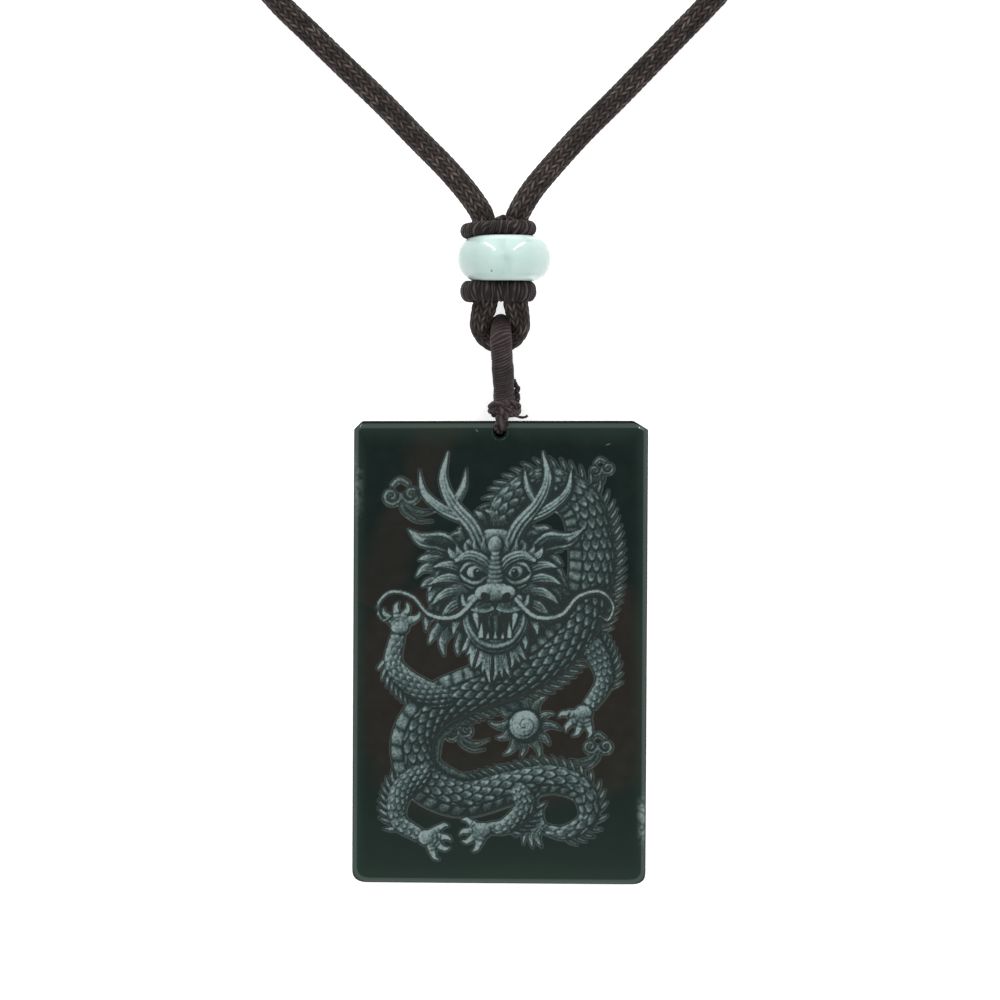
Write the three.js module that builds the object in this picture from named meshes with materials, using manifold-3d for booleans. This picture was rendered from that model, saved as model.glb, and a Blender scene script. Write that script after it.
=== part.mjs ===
// Jade tablet pendant on a braided neck cord, lying on its back.
// Units are millimetres. +Z points up, off the surface that the pendant lies on,
// and +Y points from the tablet's foot to its hanging hole.
// The origin is the centre of the tablet's back face.

import * as THREE from 'three';
import { mergeVertices } from 'three/addons/utils/BufferGeometryUtils.js';
import Module from 'manifold-3d';

// Driving dimensions of the tablet
const TABLET_THICKNESS = 6;
const CORNERS = {
  topLeft: [-18.9, 29.94],
  topRight: [19.2, 29.97],
  bottomRight: [18.85, -30.1],
  bottomLeft: [-19.15, -29.82],
};
const CORNER_CUTS = {
  topLeft: { along: 1.07, down: 1.07 },
  topRight: { along: 1.9, down: 1.17 },
};
const CORNER_ROUNDS = {
  bottomRight: { along: 1.8, up: 1.5 },
  bottomLeft: { along: 2.0, up: 1.6 },
};
const CORNER_STEPS = 4;
const BEVEL = 0.52;
const TOP_BEVEL = 0.85;

// Driving dimensions of the hanging hole and of the groove that keeps the thread off the ground
const HOLE_Y = 28.5;
const HOLE_RADIUS = 0.65;
const HOLE_RIM_RADIUS = 0.95;
const HOLE_RIM_DEPTH = 0.3;
const GROOVE_WIDTH = 1.4;
const GROOVE_DEPTH = 1.1;
// How far a cutting body reaches past the surface that it cuts
const PAST = 2;

// Driving dimensions of the bead, the two thread-wrapped rings and the cords
const BEAD = { x: 0.58, y: 50.95, radius: 6.05, length: 5.9, bore: 3.3, rim: 0.3, flat: 3.6 };
const AXIS_Z = BEAD.radius;
const RING = { width: 9.8, depth: 7.0, wall: 1.45, x: -0.2 };
const UPPER_RING_Y = [54.25, 56.2];
const LOWER_RING_Y = [45.3, 47.7];
const CORD_DIAMETER = 3.1;
const BIGHT_DIAMETER = 2.4;
const FOLD = { y: 42.65, z: 4.33, radius: 2.62 };
const LOOP_DIAMETER = 2.2;
const LOOP_REACH = 2.7;
const THREAD_DIAMETER = 0.7;
const GAP = 0.3;

// The neck cord's spare length lies in a round coil above the tablet: the lower layer is
// wound inwards, the upper one outwards again, and both strands leave it in a widening sweep
const GROUND_Z = CORD_DIAMETER / 2 + 0.06;
const COIL = {
  y: 109,
  outerTurn: 20.1,
  innerTurn: 12.35,
  upperZ: GROUND_Z + 3.05,
  enterAngle: 95,
  leaveAngle: 85,
  sweep: 99,
  sweepReach: 14.9,
  sweepPower: 1.6,
};
const TIE = { width: 2.4, thickness: 0.9, sink: 0.25 };
const SLEEVE = { from: [29.3, 87, 2.25], to: [33.1, 95.2, 2.25], radius: 2.25 };

// The picture on the face is a dragon with a pearl, among clouds. Its main forms are sunk to one
// shallow depth, the lines within them deeper, and the parts that stand forward are left standing
const PICTURE = {
  scale: 0.95,
  y: -0.4,
  depth: 0.14,
  lineDepth: 0.28,
  line: 0.15,
  margin: 0.1,
  tolerance: 0.05,
};
const BODY = [
  [1.6, 20.4], [6.2, 22.9], [10.8, 20.6], [12.4, 15.2], [12.3, 9.4], [10, 3.6], [4.6, -1.4], [-2.6, -4.2],
  [-8.8, -7], [-11.9, -11.6], [-10.7, -17], [-5.2, -19.6], [1.2, -18.2], [6.8, -16.9], [11.2, -18.5],
  [12, -22.2], [8.8, -24.2], [5.4, -23.4],
];
const BODY_WIDTHS = [
  2.5, 2.7, 2.9, 3.1, 3.2, 3.2, 3.2, 3.15, 3, 2.9, 2.7, 2.5, 2.3, 2, 1.65, 1.3, 0.95, 0.55,
];
const BELLY_EDGE = 0.42;
const CREST = { spacing: 2.5, length: 1.9, lean: 0.9, root: 0.5 };
const SCALE_ROW = 2.5;
const PEARL = { x: 3.4, y: -9.6, radius: 2.1, flames: 8, flameLength: 2.9 };
const HEAD = { x: -0.6, y: 10.2, size: 1.13 };
const MANE = { from: -1.25, sweep: Math.PI + 2.5, locks: 20, inner: 4.4, outer: 10.2, halfAngle: 0.16 };
const LEG_WIDTHS = [1.8, 1.6, 1.2, 0.9];
const LEGS = [
  { line: [[9, 3.5], [12.6, 1], [14.3, -3.2], [12.2, -7]], toes: -2.2 },
  { line: [[-6.2, -6.4], [-10.8, -4.8], [-14.4, -1.4], [-13.9, 2.8]], toes: 1.45 },
  { line: [[-9.6, -15.4], [-13.4, -18.6], [-13.9, -22.4], [-10.9, -24.6]], toes: -0.3 },
  { line: [[2.2, -17.6], [3.4, -20.6], [0.9, -23.2], [-1.6, -23.6]], toes: 3.45 },
];
const FOOT = { palm: 1.2, toes: 4, spread: 2, reach: 3.5 };


const stone = new THREE.MeshStandardMaterial({ color: 0x1c2523, roughness: 0.2, metalness: 0 });
const paleStone = new THREE.MeshStandardMaterial({ color: 0xc4dbd4, roughness: 0.15, metalness: 0 });
const thread = new THREE.MeshStandardMaterial({ color: 0x3d3533, roughness: 0.75, metalness: 0 });
const braid = new THREE.MeshStandardMaterial({ color: 0x3a3330, roughness: 0.8, metalness: 0 });

const wasm = await Module();
wasm.setup();

// A closed solid for cutting, from a geometry whose shared corners are merged
function solidOf(geometry) {
  const bare = geometry.clone();
  for (const name of Object.keys(bare.attributes)) {
    if (name !== 'position') bare.deleteAttribute(name);
  }
  const merged = mergeVertices(bare, 1e-4);
  return new wasm.Manifold(new wasm.Mesh({
    numProp: 3,
    vertProperties: new Float32Array(merged.attributes.position.array),
    triVerts: new Uint32Array(merged.index.array),
  }));
}

function geometryOf(solid) {
  const mesh = solid.getMesh();
  const geometry = new THREE.BufferGeometry();
  geometry.setAttribute('position', new THREE.BufferAttribute(new Float32Array(mesh.vertProperties), 3));
  geometry.setIndex(new THREE.BufferAttribute(new Uint32Array(mesh.triVerts), 1));
  geometry.computeVertexNormals();
  return geometry;
}

// A tube of a round section with few sides, carried along a smooth curve
function tubeAlong(curve, diameter, steps, sides = 8) {
  const section = new THREE.Shape();
  section.absarc(0, 0, diameter / 2, 0, 2 * Math.PI);
  const round = new THREE.Shape(section.getSpacedPoints(sides).slice(0, sides));
  return new THREE.ExtrudeGeometry(round, { steps, bevelEnabled: false, extrudePath: curve });
}

function smoothCurve(points) {
  return new THREE.CatmullRomCurve3(points.map((p) => new THREE.Vector3(...p)), false, 'centripetal');
}

// The tablet's outline: two corners cut off flat, two worn round
function tabletOutline() {
  const { topLeft, topRight, bottomRight, bottomLeft } = CORNERS;
  const outline = new THREE.Shape();
  const arcTo = (corner, from, to) => {
    for (let step = 1; step <= CORNER_STEPS; step += 1) {
      const t = step / CORNER_STEPS;
      const place = (axis) => (1 - t) ** 2 * from[axis] + 2 * t * (1 - t) * corner[axis] + t ** 2 * to[axis];
      outline.lineTo(place(0), place(1));
    }
  };
  const left = CORNER_ROUNDS.bottomLeft;
  const right = CORNER_ROUNDS.bottomRight;
  outline.moveTo(topLeft[0], topLeft[1] - CORNER_CUTS.topLeft.down);
  outline.lineTo(bottomLeft[0], bottomLeft[1] + left.up);
  arcTo(bottomLeft, [bottomLeft[0], bottomLeft[1] + left.up], [bottomLeft[0] + left.along, bottomLeft[1]]);
  outline.lineTo(bottomRight[0] - right.along, bottomRight[1]);
  arcTo(bottomRight, [bottomRight[0] - right.along, bottomRight[1]],
    [bottomRight[0], bottomRight[1] + right.up]);
  outline.lineTo(topRight[0], topRight[1] - CORNER_CUTS.topRight.down);
  outline.lineTo(topRight[0] - CORNER_CUTS.topRight.along, topRight[1]);
  outline.lineTo(topLeft[0] + CORNER_CUTS.topLeft.along, topLeft[1]);
  outline.closePath();
  return outline;
}

function box(low, high) {
  const size = high.map((value, axis) => value - low[axis]);
  const geometry = new THREE.BoxGeometry(...size);
  geometry.translate(...low.map((value, axis) => value + size[axis] / 2));
  return geometry;
}

// A flat cut that takes off everything above a slanting plane along the top edge
function topBevelCutter() {
  const shape = new THREE.Shape();
  const slope = BEVEL / TOP_BEVEL;
  const edgeY = CORNERS.topLeft[1];
  const span = CORNERS.topRight[0] - CORNERS.topLeft[0] + 2 * PAST;
  shape.moveTo(edgeY - TOP_BEVEL, TABLET_THICKNESS);
  shape.lineTo(edgeY + PAST, TABLET_THICKNESS - slope * (TOP_BEVEL + PAST));
  shape.lineTo(edgeY + PAST, TABLET_THICKNESS + PAST);
  shape.lineTo(edgeY - TOP_BEVEL, TABLET_THICKNESS + PAST);
  const geometry = new THREE.ExtrudeGeometry(shape, { depth: span, bevelEnabled: false });
  geometry.rotateY(Math.PI / 2);
  geometry.rotateX(Math.PI / 2);
  geometry.translate(-span / 2, 0, 0);
  return geometry;
}

// The drilled hole with a small countersink at both mouths
function holeCutter() {
  const widen = (HOLE_RIM_RADIUS - HOLE_RADIUS) / HOLE_RIM_DEPTH;
  const mouth = HOLE_RIM_RADIUS + widen * PAST;
  const profile = [
    [0, -PAST], [mouth, -PAST], [HOLE_RADIUS, HOLE_RIM_DEPTH],
    [HOLE_RADIUS, TABLET_THICKNESS - HOLE_RIM_DEPTH], [mouth, TABLET_THICKNESS + PAST],
    [0, TABLET_THICKNESS + PAST],
  ].map(([r, z]) => new THREE.Vector2(r, z));
  const geometry = new THREE.LatheGeometry(profile, 20);
  geometry.rotateX(Math.PI / 2);
  geometry.translate(0, HOLE_Y, 0);
  return geometry;
}

// A flat stroke of changing half width along a smooth line
function stroke(points, widths, steps) {
  const curve = new THREE.SplineCurve(points.map(([x, y]) => new THREE.Vector2(x, y)));
  const left = [];
  const right = [];
  for (let step = 0; step <= steps; step += 1) {
    const t = step / steps;
    const place = curve.getPoint(t);
    const way = curve.getTangent(t);
    const width = widthAt(widths, t);
    left.push([place.x - way.y * width, place.y + way.x * width]);
    right.unshift([place.x + way.y * width, place.y - way.x * width]);
  }
  return [...left, ...right];
}

function widthAt(widths, t) {
  const place = t * (widths.length - 1);
  const index = Math.min(Math.floor(place), widths.length - 2);
  return THREE.MathUtils.lerp(widths[index], widths[index + 1], place - index);
}

function oval([x, y], [rx, ry], sides = 10) {
  return Array.from({ length: sides }, (_, side) => {
    const angle = (2 * Math.PI * side) / sides;
    return [x + rx * Math.cos(angle), y + ry * Math.sin(angle)];
  });
}

// A pointed lock that leaves its root along a heading and bends to one side
function flame([x, y], heading, length, width, bend) {
  const way = [Math.cos(heading), Math.sin(heading)];
  const place = (ahead, aside) => [
    x + length * (ahead * way[0] - aside * way[1]), y + length * (ahead * way[1] + aside * way[0]),
  ];
  return [place(0, -width), place(0.55, 0.5 * bend - width * 0.7), place(1, -0.25 * bend),
    place(0.5, 0.5 * bend + width * 0.7), place(0, width)];
}

// Places on the body: a share of its length, and across it from -1 at the belly to 1 at the crest
const bodyCurve = new THREE.SplineCurve(BODY.map(([x, y]) => new THREE.Vector2(x, y)));
const bodyLength = bodyCurve.getLength();

function onBody(share, across) {
  const t = bodyCurve.getUtoTmapping(THREE.MathUtils.clamp(share, 0, 1));
  const place = bodyCurve.getPoint(t);
  const way = bodyCurve.getTangent(t);
  const reach = across * widthAt(BODY_WIDTHS, t);
  return [place.x - way.y * reach, place.y + way.x * reach];
}

function crestSpikes() {
  const count = Math.floor((0.97 * bodyLength) / CREST.spacing);
  return Array.from({ length: count }, (_, index) => {
    const share = (index * CREST.spacing) / bodyLength;
    const width = widthAt(BODY_WIDTHS, bodyCurve.getUtoTmapping(share));
    const length = CREST.length * (0.5 + 0.5 * (width / 3.2));
    const tip = onBody(share - (CREST.lean * length) / bodyLength, 1 + length / width);
    const half = CREST.root / bodyLength;
    return [onBody(share - half, 0.9), onBody(share + half, 0.9), tip];
  });
}

// Bowed lines across the back stand for the rows of scales, straight ones for the belly's plates
function bodyLines() {
  const rows = Math.floor(bodyLength / SCALE_ROW);
  const lines = [];
  for (let row = 1; row < rows; row += 1) {
    const share = row / rows;
    const ahead = (0.45 * SCALE_ROW) / bodyLength;
    const scales = [[-ahead, -BELLY_EDGE], [ahead, 0.27], [-ahead, 0.9]];
    const plate = [[0, -0.95], [0, -BELLY_EDGE]];
    for (const line of [scales, plate]) {
      const points = line.map(([further, across]) => onBody(share + further, across));
      lines.push(stroke(points, [PICTURE.line, PICTURE.line], line.length - 1));
    }
  }
  return lines;
}

function footStrokes({ line, toes }) {
  const [x, y] = line[line.length - 1];
  const palm = [x + 0.9 * Math.cos(toes), y + 0.9 * Math.sin(toes)];
  const strokes = [oval(palm, [FOOT.palm, FOOT.palm], 8)];
  for (let toe = 0; toe < FOOT.toes; toe += 1) {
    const share = toe / (FOOT.toes - 1) - 0.5;
    strokes.push(flame(palm, toes + FOOT.spread * share, FOOT.reach, 0.2, -0.5 * Math.sign(share)));
  }
  return strokes;
}

function onHead([x, y], side = 1) {
  return [HEAD.x + HEAD.size * side * x, HEAD.y + HEAD.size * y];
}

function headStroke(points, widths, steps, side = 1) {
  return stroke(points.map((point) => onHead(point, side)), widths.map((width) => HEAD.size * width), steps);
}

function headOval(centre, radii, side = 1, sides = 10) {
  return oval(onHead(centre, side), radii.map((radius) => HEAD.size * radius), sides);
}

function maneLocks() {
  return Array.from({ length: MANE.locks }, (_, index) => {
    const angle = MANE.from + (MANE.sweep * index) / (MANE.locks - 1);
    const up = Math.max(Math.sin(angle), 0);
    const reach = MANE.outer * (1 + 0.1 * Math.sin(5.3 * index)) * (1 - 0.22 * up);
    const turn = Math.cos(angle) < 0 ? -1 : 1;
    const spoke = (radius, aside) => onHead(
      [radius * Math.cos(angle + aside), radius * Math.sin(angle + aside)],
    );
    return [
      spoke(MANE.inner, -1.6 * MANE.halfAngle), spoke(0.7 * reach, -MANE.halfAngle + 0.08 * turn),
      spoke(reach, -0.06 * turn), spoke(0.7 * reach, MANE.halfAngle + 0.08 * turn),
      spoke(MANE.inner, 1.6 * MANE.halfAngle),
    ];
  });
}

function beardLocks() {
  return Array.from({ length: 7 }, (_, index) => {
    const share = (index - 3) / 3;
    const tip = [3.7 * share, -12.4 + 1.6 * Math.abs(share)];
    return headStroke([[2.4 * share, -7.2], [2.9 * share, -9.6], tip], [0.6, 0.5, 0.03], 2);
  });
}

// What each side of the head has: sunk forms, deeper lines, and parts left standing
function headSide(side) {
  const at = (points, widths, steps) => headStroke(points, widths, steps, side);
  return {
    sunk: [
      at([[1.7, 4.2], [2.9, 6.6], [5.1, 9.2], [6.3, 12.2], [5.7, 15.6]], [0.95, 0.9, 0.75, 0.55, 0.08], 7),
      at([[3.6, 7.4], [6.4, 8.6], [8.6, 10.6], [9.2, 13.4]], [0.7, 0.62, 0.45, 0.06], 5),
      at([[5, 9.2], [3.9, 11.2], [3.5, 13.6]], [0.5, 0.42, 0.05], 3),
      at([[4.2, 3.2], [6.4, 4.6], [8.9, 4.9], [10.6, 6.2]], [0.6, 1.15, 0.8, 0.05], 5),
      at([[2.2, -2.1], [4.8, -4.4], [7.9, -4.2], [10, -2], [12.6, -1.4], [14.2, -3], [13.6, -4.8],
        [12.5, -4.3]], [0.34, 0.34, 0.3, 0.28, 0.24, 0.2, 0.16, 0.06], 15),
    ],
    lines: [
      at([[3.6, 7.4], [2.4, 4.6]], [0.12, 0.12], 1),
      at([[1.0, -0.5], [2.4, -1.2], [3.8, -0.7]], [0.12, 0.16, 0.1], 3),
      at([[4.6, 3.4], [6.6, 4.6], [8.6, 4.9]], [0.12, 0.3, 0.05], 3),
      headOval([1.3, -1.85], [0.5, 0.36], side, 8),
      headOval([2.45, 0.9], [1.35, 1.1], side, 12),
      at([[3.9, -0.6], [3.7, -3.2], [3.9, -5.2]], [0.1, 0.16, 0.05], 3),
    ],
    standing: [
      at([[0.55, 1.9], [1.5, 2.6], [3.2, 3.1], [4.9, 2.5]], [0.3, 0.5, 0.5, 0.1], 4),
      headOval([1.9, -2.6], [1.7, 0.8], side, 10),
    ],
    eye: headOval([2.45, 0.9], [0.95, 0.8], side, 12),
    pupil: headOval([2.3, 0.9], [0.36, 0.42], side, 8),
    fang: at([[2.3, -3.5], [2.07, -6.0]], [0.42, 0.05], 1),
    tusk: at([[1.7, -7.0], [1.6, -5.0]], [0.32, 0.05], 1),
  };
}

// One flat region that covers all of these outlines, whichever way round each one runs
function region(outlines) {
  const sameWay = outlines.map((outline) => {
    const area = THREE.ShapeUtils.area(outline.map(([x, y]) => ({ x, y })));
    return area < 0 ? [...outline].reverse() : outline;
  });
  return new wasm.CrossSection(sameWay, 'Positive');
}

// The sunk picture as one solid to be cut out of the tablet's face
function pictureCutter() {
  const sides = [headSide(-1), headSide(1)];
  const pick = (name) => sides.flatMap((side) => side[name]);
  const single = (name) => sides.map((side) => side[name]);
  const pearl = [PEARL.x, PEARL.y];
  const flames = Array.from({ length: PEARL.flames }, (_, index) => {
    const angle = (2 * Math.PI * index) / PEARL.flames;
    const rise = 0.8 * PEARL.radius;
    const root = [PEARL.x + rise * Math.cos(angle), PEARL.y + rise * Math.sin(angle)];
    return flame(root, angle + 0.5, PEARL.flameLength, 0.2, 0.35);
  });
  const plume = Array.from({ length: 7 }, (_, index) => (
    flame(BODY[BODY.length - 1], 1.5 + 0.52 * index, 4.4 - 0.4 * Math.abs(index - 3), 0.15, 0.3)
  ));
  const body = stroke(BODY, BODY_WIDTHS, 44);
  const legs = LEGS.map(({ line }) => stroke(line, LEG_WIDTHS, 6));
  const feet = LEGS.flatMap(footStrokes);
  const head = headOval([0, -0.6], [6.2, 6.6], 1, 16);
  const jaw = headOval([0, -5.2], [3.9, 3.4], 1, 14);
  const mouth = headOval([0, -5.0], [2.9, 2.4], 1, 14);
  const bridge = headStroke([[0, 3.4], [0, 1.2], [0, -0.6]], [0.5, 0.8, 1.2], 3);
  const nose = headOval([0, -1.6], [2.3, 0.95], 1, 12);
  const bead = headOval([0, 4.4], [0.8, 1.0], 1, 10);

  const standing = region([...pick('standing'), bridge, nose, bead, ...single('fang'), ...single('tusk')])
    .add(region([oval(pearl, [0.8 * PEARL.radius, 0.8 * PEARL.radius], 16)]))
    .add(region(single('eye')));
  const sunk = region([body, head, jaw, ...legs, ...feet, ...maneLocks(), ...beardLocks(), ...crestSpikes(),
    ...plume, ...flames, oval(pearl, [PEARL.radius, PEARL.radius], 16), ...pick('sunk')]);
  const covered = region([head, jaw, ...maneLocks(), ...beardLocks(), ...legs, ...pick('sunk')]);
  const ground = sunk.subtract(standing).simplify(PICTURE.tolerance);
  const lines = region(bodyLines()).subtract(covered)
    .add(region([mouth, ...pick('lines')]))
    .intersect(ground.offset(-PICTURE.margin, 'Miter'))
    .add(region(single('pupil')))
    .simplify(PICTURE.tolerance);
  const cut = (section, depth) => section.scale(PICTURE.scale).translate([0, PICTURE.y])
    .extrude(depth + PAST).translate([0, 0, TABLET_THICKNESS - depth]);
  return cut(ground, PICTURE.depth).add(cut(lines, PICTURE.lineDepth));
}

function tabletGeometry() {
  const body = new THREE.ExtrudeGeometry(tabletOutline(), {
    depth: TABLET_THICKNESS - 2 * BEVEL,
    bevelEnabled: true,
    bevelSegments: 1,
    bevelThickness: BEVEL,
    bevelSize: BEVEL,
    bevelOffset: -BEVEL,
  });
  body.translate(0, 0, BEVEL);
  const grooveEnd = CORNERS.topLeft[1] + PAST;
  const groove = box([-GROOVE_WIDTH / 2, HOLE_Y, -PAST], [GROOVE_WIDTH / 2, grooveEnd, GROOVE_DEPTH]);
  const solid = solidOf(body)
    .subtract(solidOf(topBevelCutter()))
    .subtract(solidOf(holeCutter()))
    .subtract(solidOf(groove))
    .subtract(pictureCutter());
  return geometryOf(solid);
}

// A bead turned about its bore: a flattened ball with rounded ends
function beadGeometry() {
  const half = BEAD.length / 2;
  const profile = [[BEAD.bore, -half + BEAD.rim]];
  const steps = 9;
  for (let step = 0; step <= steps; step += 1) {
    const angle = -Math.PI / 2 + (Math.PI * step) / steps;
    profile.push([BEAD.flat + (BEAD.radius - BEAD.flat) * Math.cos(angle), half * Math.sin(angle)]);
  }
  profile.push([BEAD.bore, half - BEAD.rim], [BEAD.bore, -half + BEAD.rim]);
  return new THREE.LatheGeometry(profile.map(([r, y]) => new THREE.Vector2(r, y)), 28);
}

// A flat ring with round ends, wound of thread round both legs of the cord
function stadium(width, depth) {
  const shape = new THREE.Shape();
  const straight = (width - depth) / 2;
  shape.absarc(straight, 0, depth / 2, -Math.PI / 2, Math.PI / 2);
  shape.absarc(-straight, 0, depth / 2, Math.PI / 2, (3 * Math.PI) / 2);
  return shape;
}

function ringGeometry([low, high]) {
  const roll = 0.45;
  const outer = stadium(RING.width - 2 * roll, RING.depth - 2 * roll);
  const inner = stadium(RING.width - 2 * RING.wall + 2 * roll, RING.depth - 2 * RING.wall + 2 * roll);
  outer.holes.push(inner);
  const geometry = new THREE.ExtrudeGeometry(outer, {
    depth: high - low - 2 * roll,
    curveSegments: 6,
    bevelEnabled: true,
    bevelSegments: 2,
    bevelThickness: roll,
    bevelSize: roll,
  });
  geometry.translate(0, 0, low + roll);
  geometry.rotateX(-Math.PI / 2);
  geometry.translate(RING.x, 0, AXIS_Z);
  return geometry;
}

// The cord's fold: down one leg, round under the hanging loop and up the other leg
function bightCurve() {
  const top = UPPER_RING_Y[1] - 0.6;
  const points = [
    [-1.5, top, AXIS_Z], [-1.15, 53.5, AXIS_Z], [-1.1, 51, AXIS_Z], [-1.15, 48.3, AXIS_Z],
    [-2.15, 45.3, 5.95],
  ];
  const steps = 6;
  for (let step = 0; step <= steps; step += 1) {
    const angle = Math.PI + (Math.PI * step) / steps;
    const rise = (1 + Math.sin(angle)) ** 2;
    const z = THREE.MathUtils.lerp(FOLD.z, 5.3, rise);
    points.push([FOLD.radius * Math.cos(angle), FOLD.y + FOLD.radius * Math.sin(angle), z]);
  }
  points.push([1.95, 45.3, 5.95], [1.4, 47.5, AXIS_Z], [1.75, 51, AXIS_Z], [1.5, top, AXIS_Z]);
  return smoothCurve(points);
}

// The hanging loop stands on edge: one leg near the ground, one above, drawn together at the binding
function hangingLoopCurve() {
  const foldBottom = FOLD.y - FOLD.radius;
  const points = [[0.5, 33.2, 1.7], [0.42, 35, 1.63], [0.25, 37.2, 1.63]];
  const steps = 6;
  for (let step = 0; step <= steps; step += 1) {
    const angle = -Math.PI / 2 + (Math.PI * step) / steps;
    points.push([0, foldBottom + LOOP_REACH * Math.cos(angle), FOLD.z + LOOP_REACH * Math.sin(angle)]);
  }
  points.push([0.25, 37.2, 6.4], [0.42, 35, 5.3], [0.5, 33.2, 4.5]);
  return smoothCurve(points);
}

// The lumpy knot of thread that binds the loop's two legs
function bindingGeometry() {
  const centre = [0.58, 31.75, 3.1];
  const half = [2.15, 1.05, 2.6];
  const geometry = new THREE.SphereGeometry(1, 12, 8);
  const place = geometry.attributes.position;
  for (let index = 0; index < place.count; index += 1) {
    const squared = (value) => Math.sign(value) * Math.abs(value) ** 0.6;
    place.setXYZ(index, ...[place.getX(index), place.getY(index), place.getZ(index)]
      .map((value, axis) => centre[axis] + half[axis] * squared(value)));
  }
  return geometry;
}

// The thin thread from the binding over the tablet's top edge, through the hole and back
function slabThreadCurve() {
  return smoothCurve([
    [0.3, 30.45, 5.75], [0.2, 29.9, 6.15], [0.1, 29.2, 6.45], [0, 28.7, 6.25], [0, HOLE_Y, 5.5],
    [0, HOLE_Y, 3], [0, HOLE_Y, 1.2], [0, 28.75, 0.62], [0, 29.4, 0.5], [0.1, 30.1, 0.5],
    [0.2, 30.6, 0.55],
  ]);
}

function onCoil(angle, radius, z) {
  const turn = THREE.MathUtils.degToRad(angle);
  return [radius * Math.cos(turn), COIL.y + radius * Math.sin(turn), z];
}

// The widening sweep between a strand and the coil: 0 is at the coil, 1 at the far end
function sweepRadius(part) {
  return COIL.outerTurn + COIL.sweepReach * part ** COIL.sweepPower;
}

function sweepPoints(startAngle, direction, from, to, heightAt) {
  const points = [];
  const steps = 6;
  for (let step = 0; step <= steps; step += 1) {
    const part = from + ((to - from) * step) / steps;
    points.push(onCoil(startAngle + direction * COIL.sweep * part, sweepRadius(part), heightAt(part)));
  }
  return points;
}

// Where a sweep comes clear of the coil's own solid, side by side with the gap between them
const clearRadius = COIL.outerTurn + CORD_DIAMETER + GAP;
const clearPart = ((clearRadius - COIL.outerTurn) / COIL.sweepReach) ** (1 / COIL.sweepPower);

// The strand on the upper layer comes down to the ground outside the coil's outer turn
function leaveHeight(part) {
  return THREE.MathUtils.lerp(COIL.upperZ, GROUND_Z, THREE.MathUtils.smoothstep(part, 0.15, 0.75));
}

function leftStrandCurve() {
  return smoothCurve([
    [-2.4, UPPER_RING_Y[1] + 2 * GAP, AXIS_Z], [-2.5, 57.4, AXIS_Z], [-4.2, 59.5, 5.6],
    [-7, 62.8, 4.6], [-10.5, 66.4, 3.4], [-15.4, 71.5, 2],
    [-20.2, 76.1, GROUND_Z], [-24.6, 80.4, GROUND_Z], [-28.8, 84.5, GROUND_Z],
    [-31.9, 88.6, GROUND_Z], [-33.7, 94, GROUND_Z],
    ...sweepPoints(COIL.enterAngle, 1, 1, clearPart, () => GROUND_Z),
  ]);
}

function rightStrandCurve() {
  return smoothCurve([
    [2.4, UPPER_RING_Y[1] + 2 * GAP, AXIS_Z], [2.5, 57.4, AXIS_Z], [4.1, 59.7, 5.6],
    [6.6, 62.8, 4.6], [10.7, 67.4, 3.3], [14.95, 71.7, 2],
    [19.7, 76.6, GROUND_Z], [23.4, 80.4, 1.65], [26.9, 84, 2],
    along(SLEEVE.from, SLEEVE.to, -1.5), along(SLEEVE.from, SLEEVE.to, -GAP),
  ]);
}

function endStrandCurve() {
  return smoothCurve([
    along(SLEEVE.to, SLEEVE.from, -GAP), along(SLEEVE.to, SLEEVE.from, -1.5),
    ...sweepPoints(COIL.leaveAngle, -1, 1, clearPart, leaveHeight),
  ]);
}

// The point this far from one point towards another
function along(from, to, distance) {
  const start = new THREE.Vector3(...from);
  const way = new THREE.Vector3(...to).sub(start).normalize();
  return start.addScaledVector(way, distance).toArray();
}

// The tie is a band of thread round the coil's section, at the turn nearest the tablet
const coilSection = {
  inner: COIL.innerTurn - CORD_DIAMETER / 2,
  outer: COIL.outerTurn + CORD_DIAMETER / 2,
  top: COIL.upperZ + CORD_DIAMETER / 2,
};

function tieFrame(grow, depth) {
  const reach = TIE.thickness - TIE.sink + grow;
  const [x0, x1] = [coilSection.inner - reach, coilSection.outer + reach];
  const [z0, z1] = [-grow, coilSection.top + reach];
  const shape = new THREE.Shape();
  shape.moveTo(x0 + 1, z0).lineTo(x1 - 1, z0).lineTo(x1, z0 + 1).lineTo(x1, z1 - 1);
  shape.lineTo(x1 - 1, z1).lineTo(x0 + 1, z1).lineTo(x0, z1 - 1).lineTo(x0, z0 + 1);
  const wall = TIE.thickness + 2 * grow;
  const hole = new THREE.Path();
  hole.moveTo(x0 + wall, z0 + wall).lineTo(x0 + wall, z1 - wall);
  hole.lineTo(x1 - wall, z1 - wall).lineTo(x1 - wall, z0 + wall);
  shape.holes.push(hole);
  const geometry = new THREE.ExtrudeGeometry(shape, { depth, bevelEnabled: false });
  geometry.translate(0, 0, -depth / 2);
  geometry.rotateX(Math.PI / 2);
  geometry.rotateZ(-Math.PI / 2);
  geometry.translate(0, COIL.y, 0);
  return geometry;
}

function coilGeometry() {
  const { inner, outer, top } = coilSection;
  const soft = 1;
  const profile = [
    [inner, soft], [inner + soft, 0], [outer - soft, 0], [outer, soft],
    [outer, top - soft], [outer - soft, top], [inner + soft, top], [inner, top - soft], [inner, soft],
  ].map(([r, z]) => new THREE.Vector2(r, z));
  const ring = new THREE.LatheGeometry(profile, 36);
  ring.rotateX(Math.PI / 2);
  ring.translate(0, COIL.y, 0);
  const groove = tieFrame(GAP, TIE.width + 2 * GAP);
  return geometryOf(solidOf(ring).subtract(solidOf(groove)));
}

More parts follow.
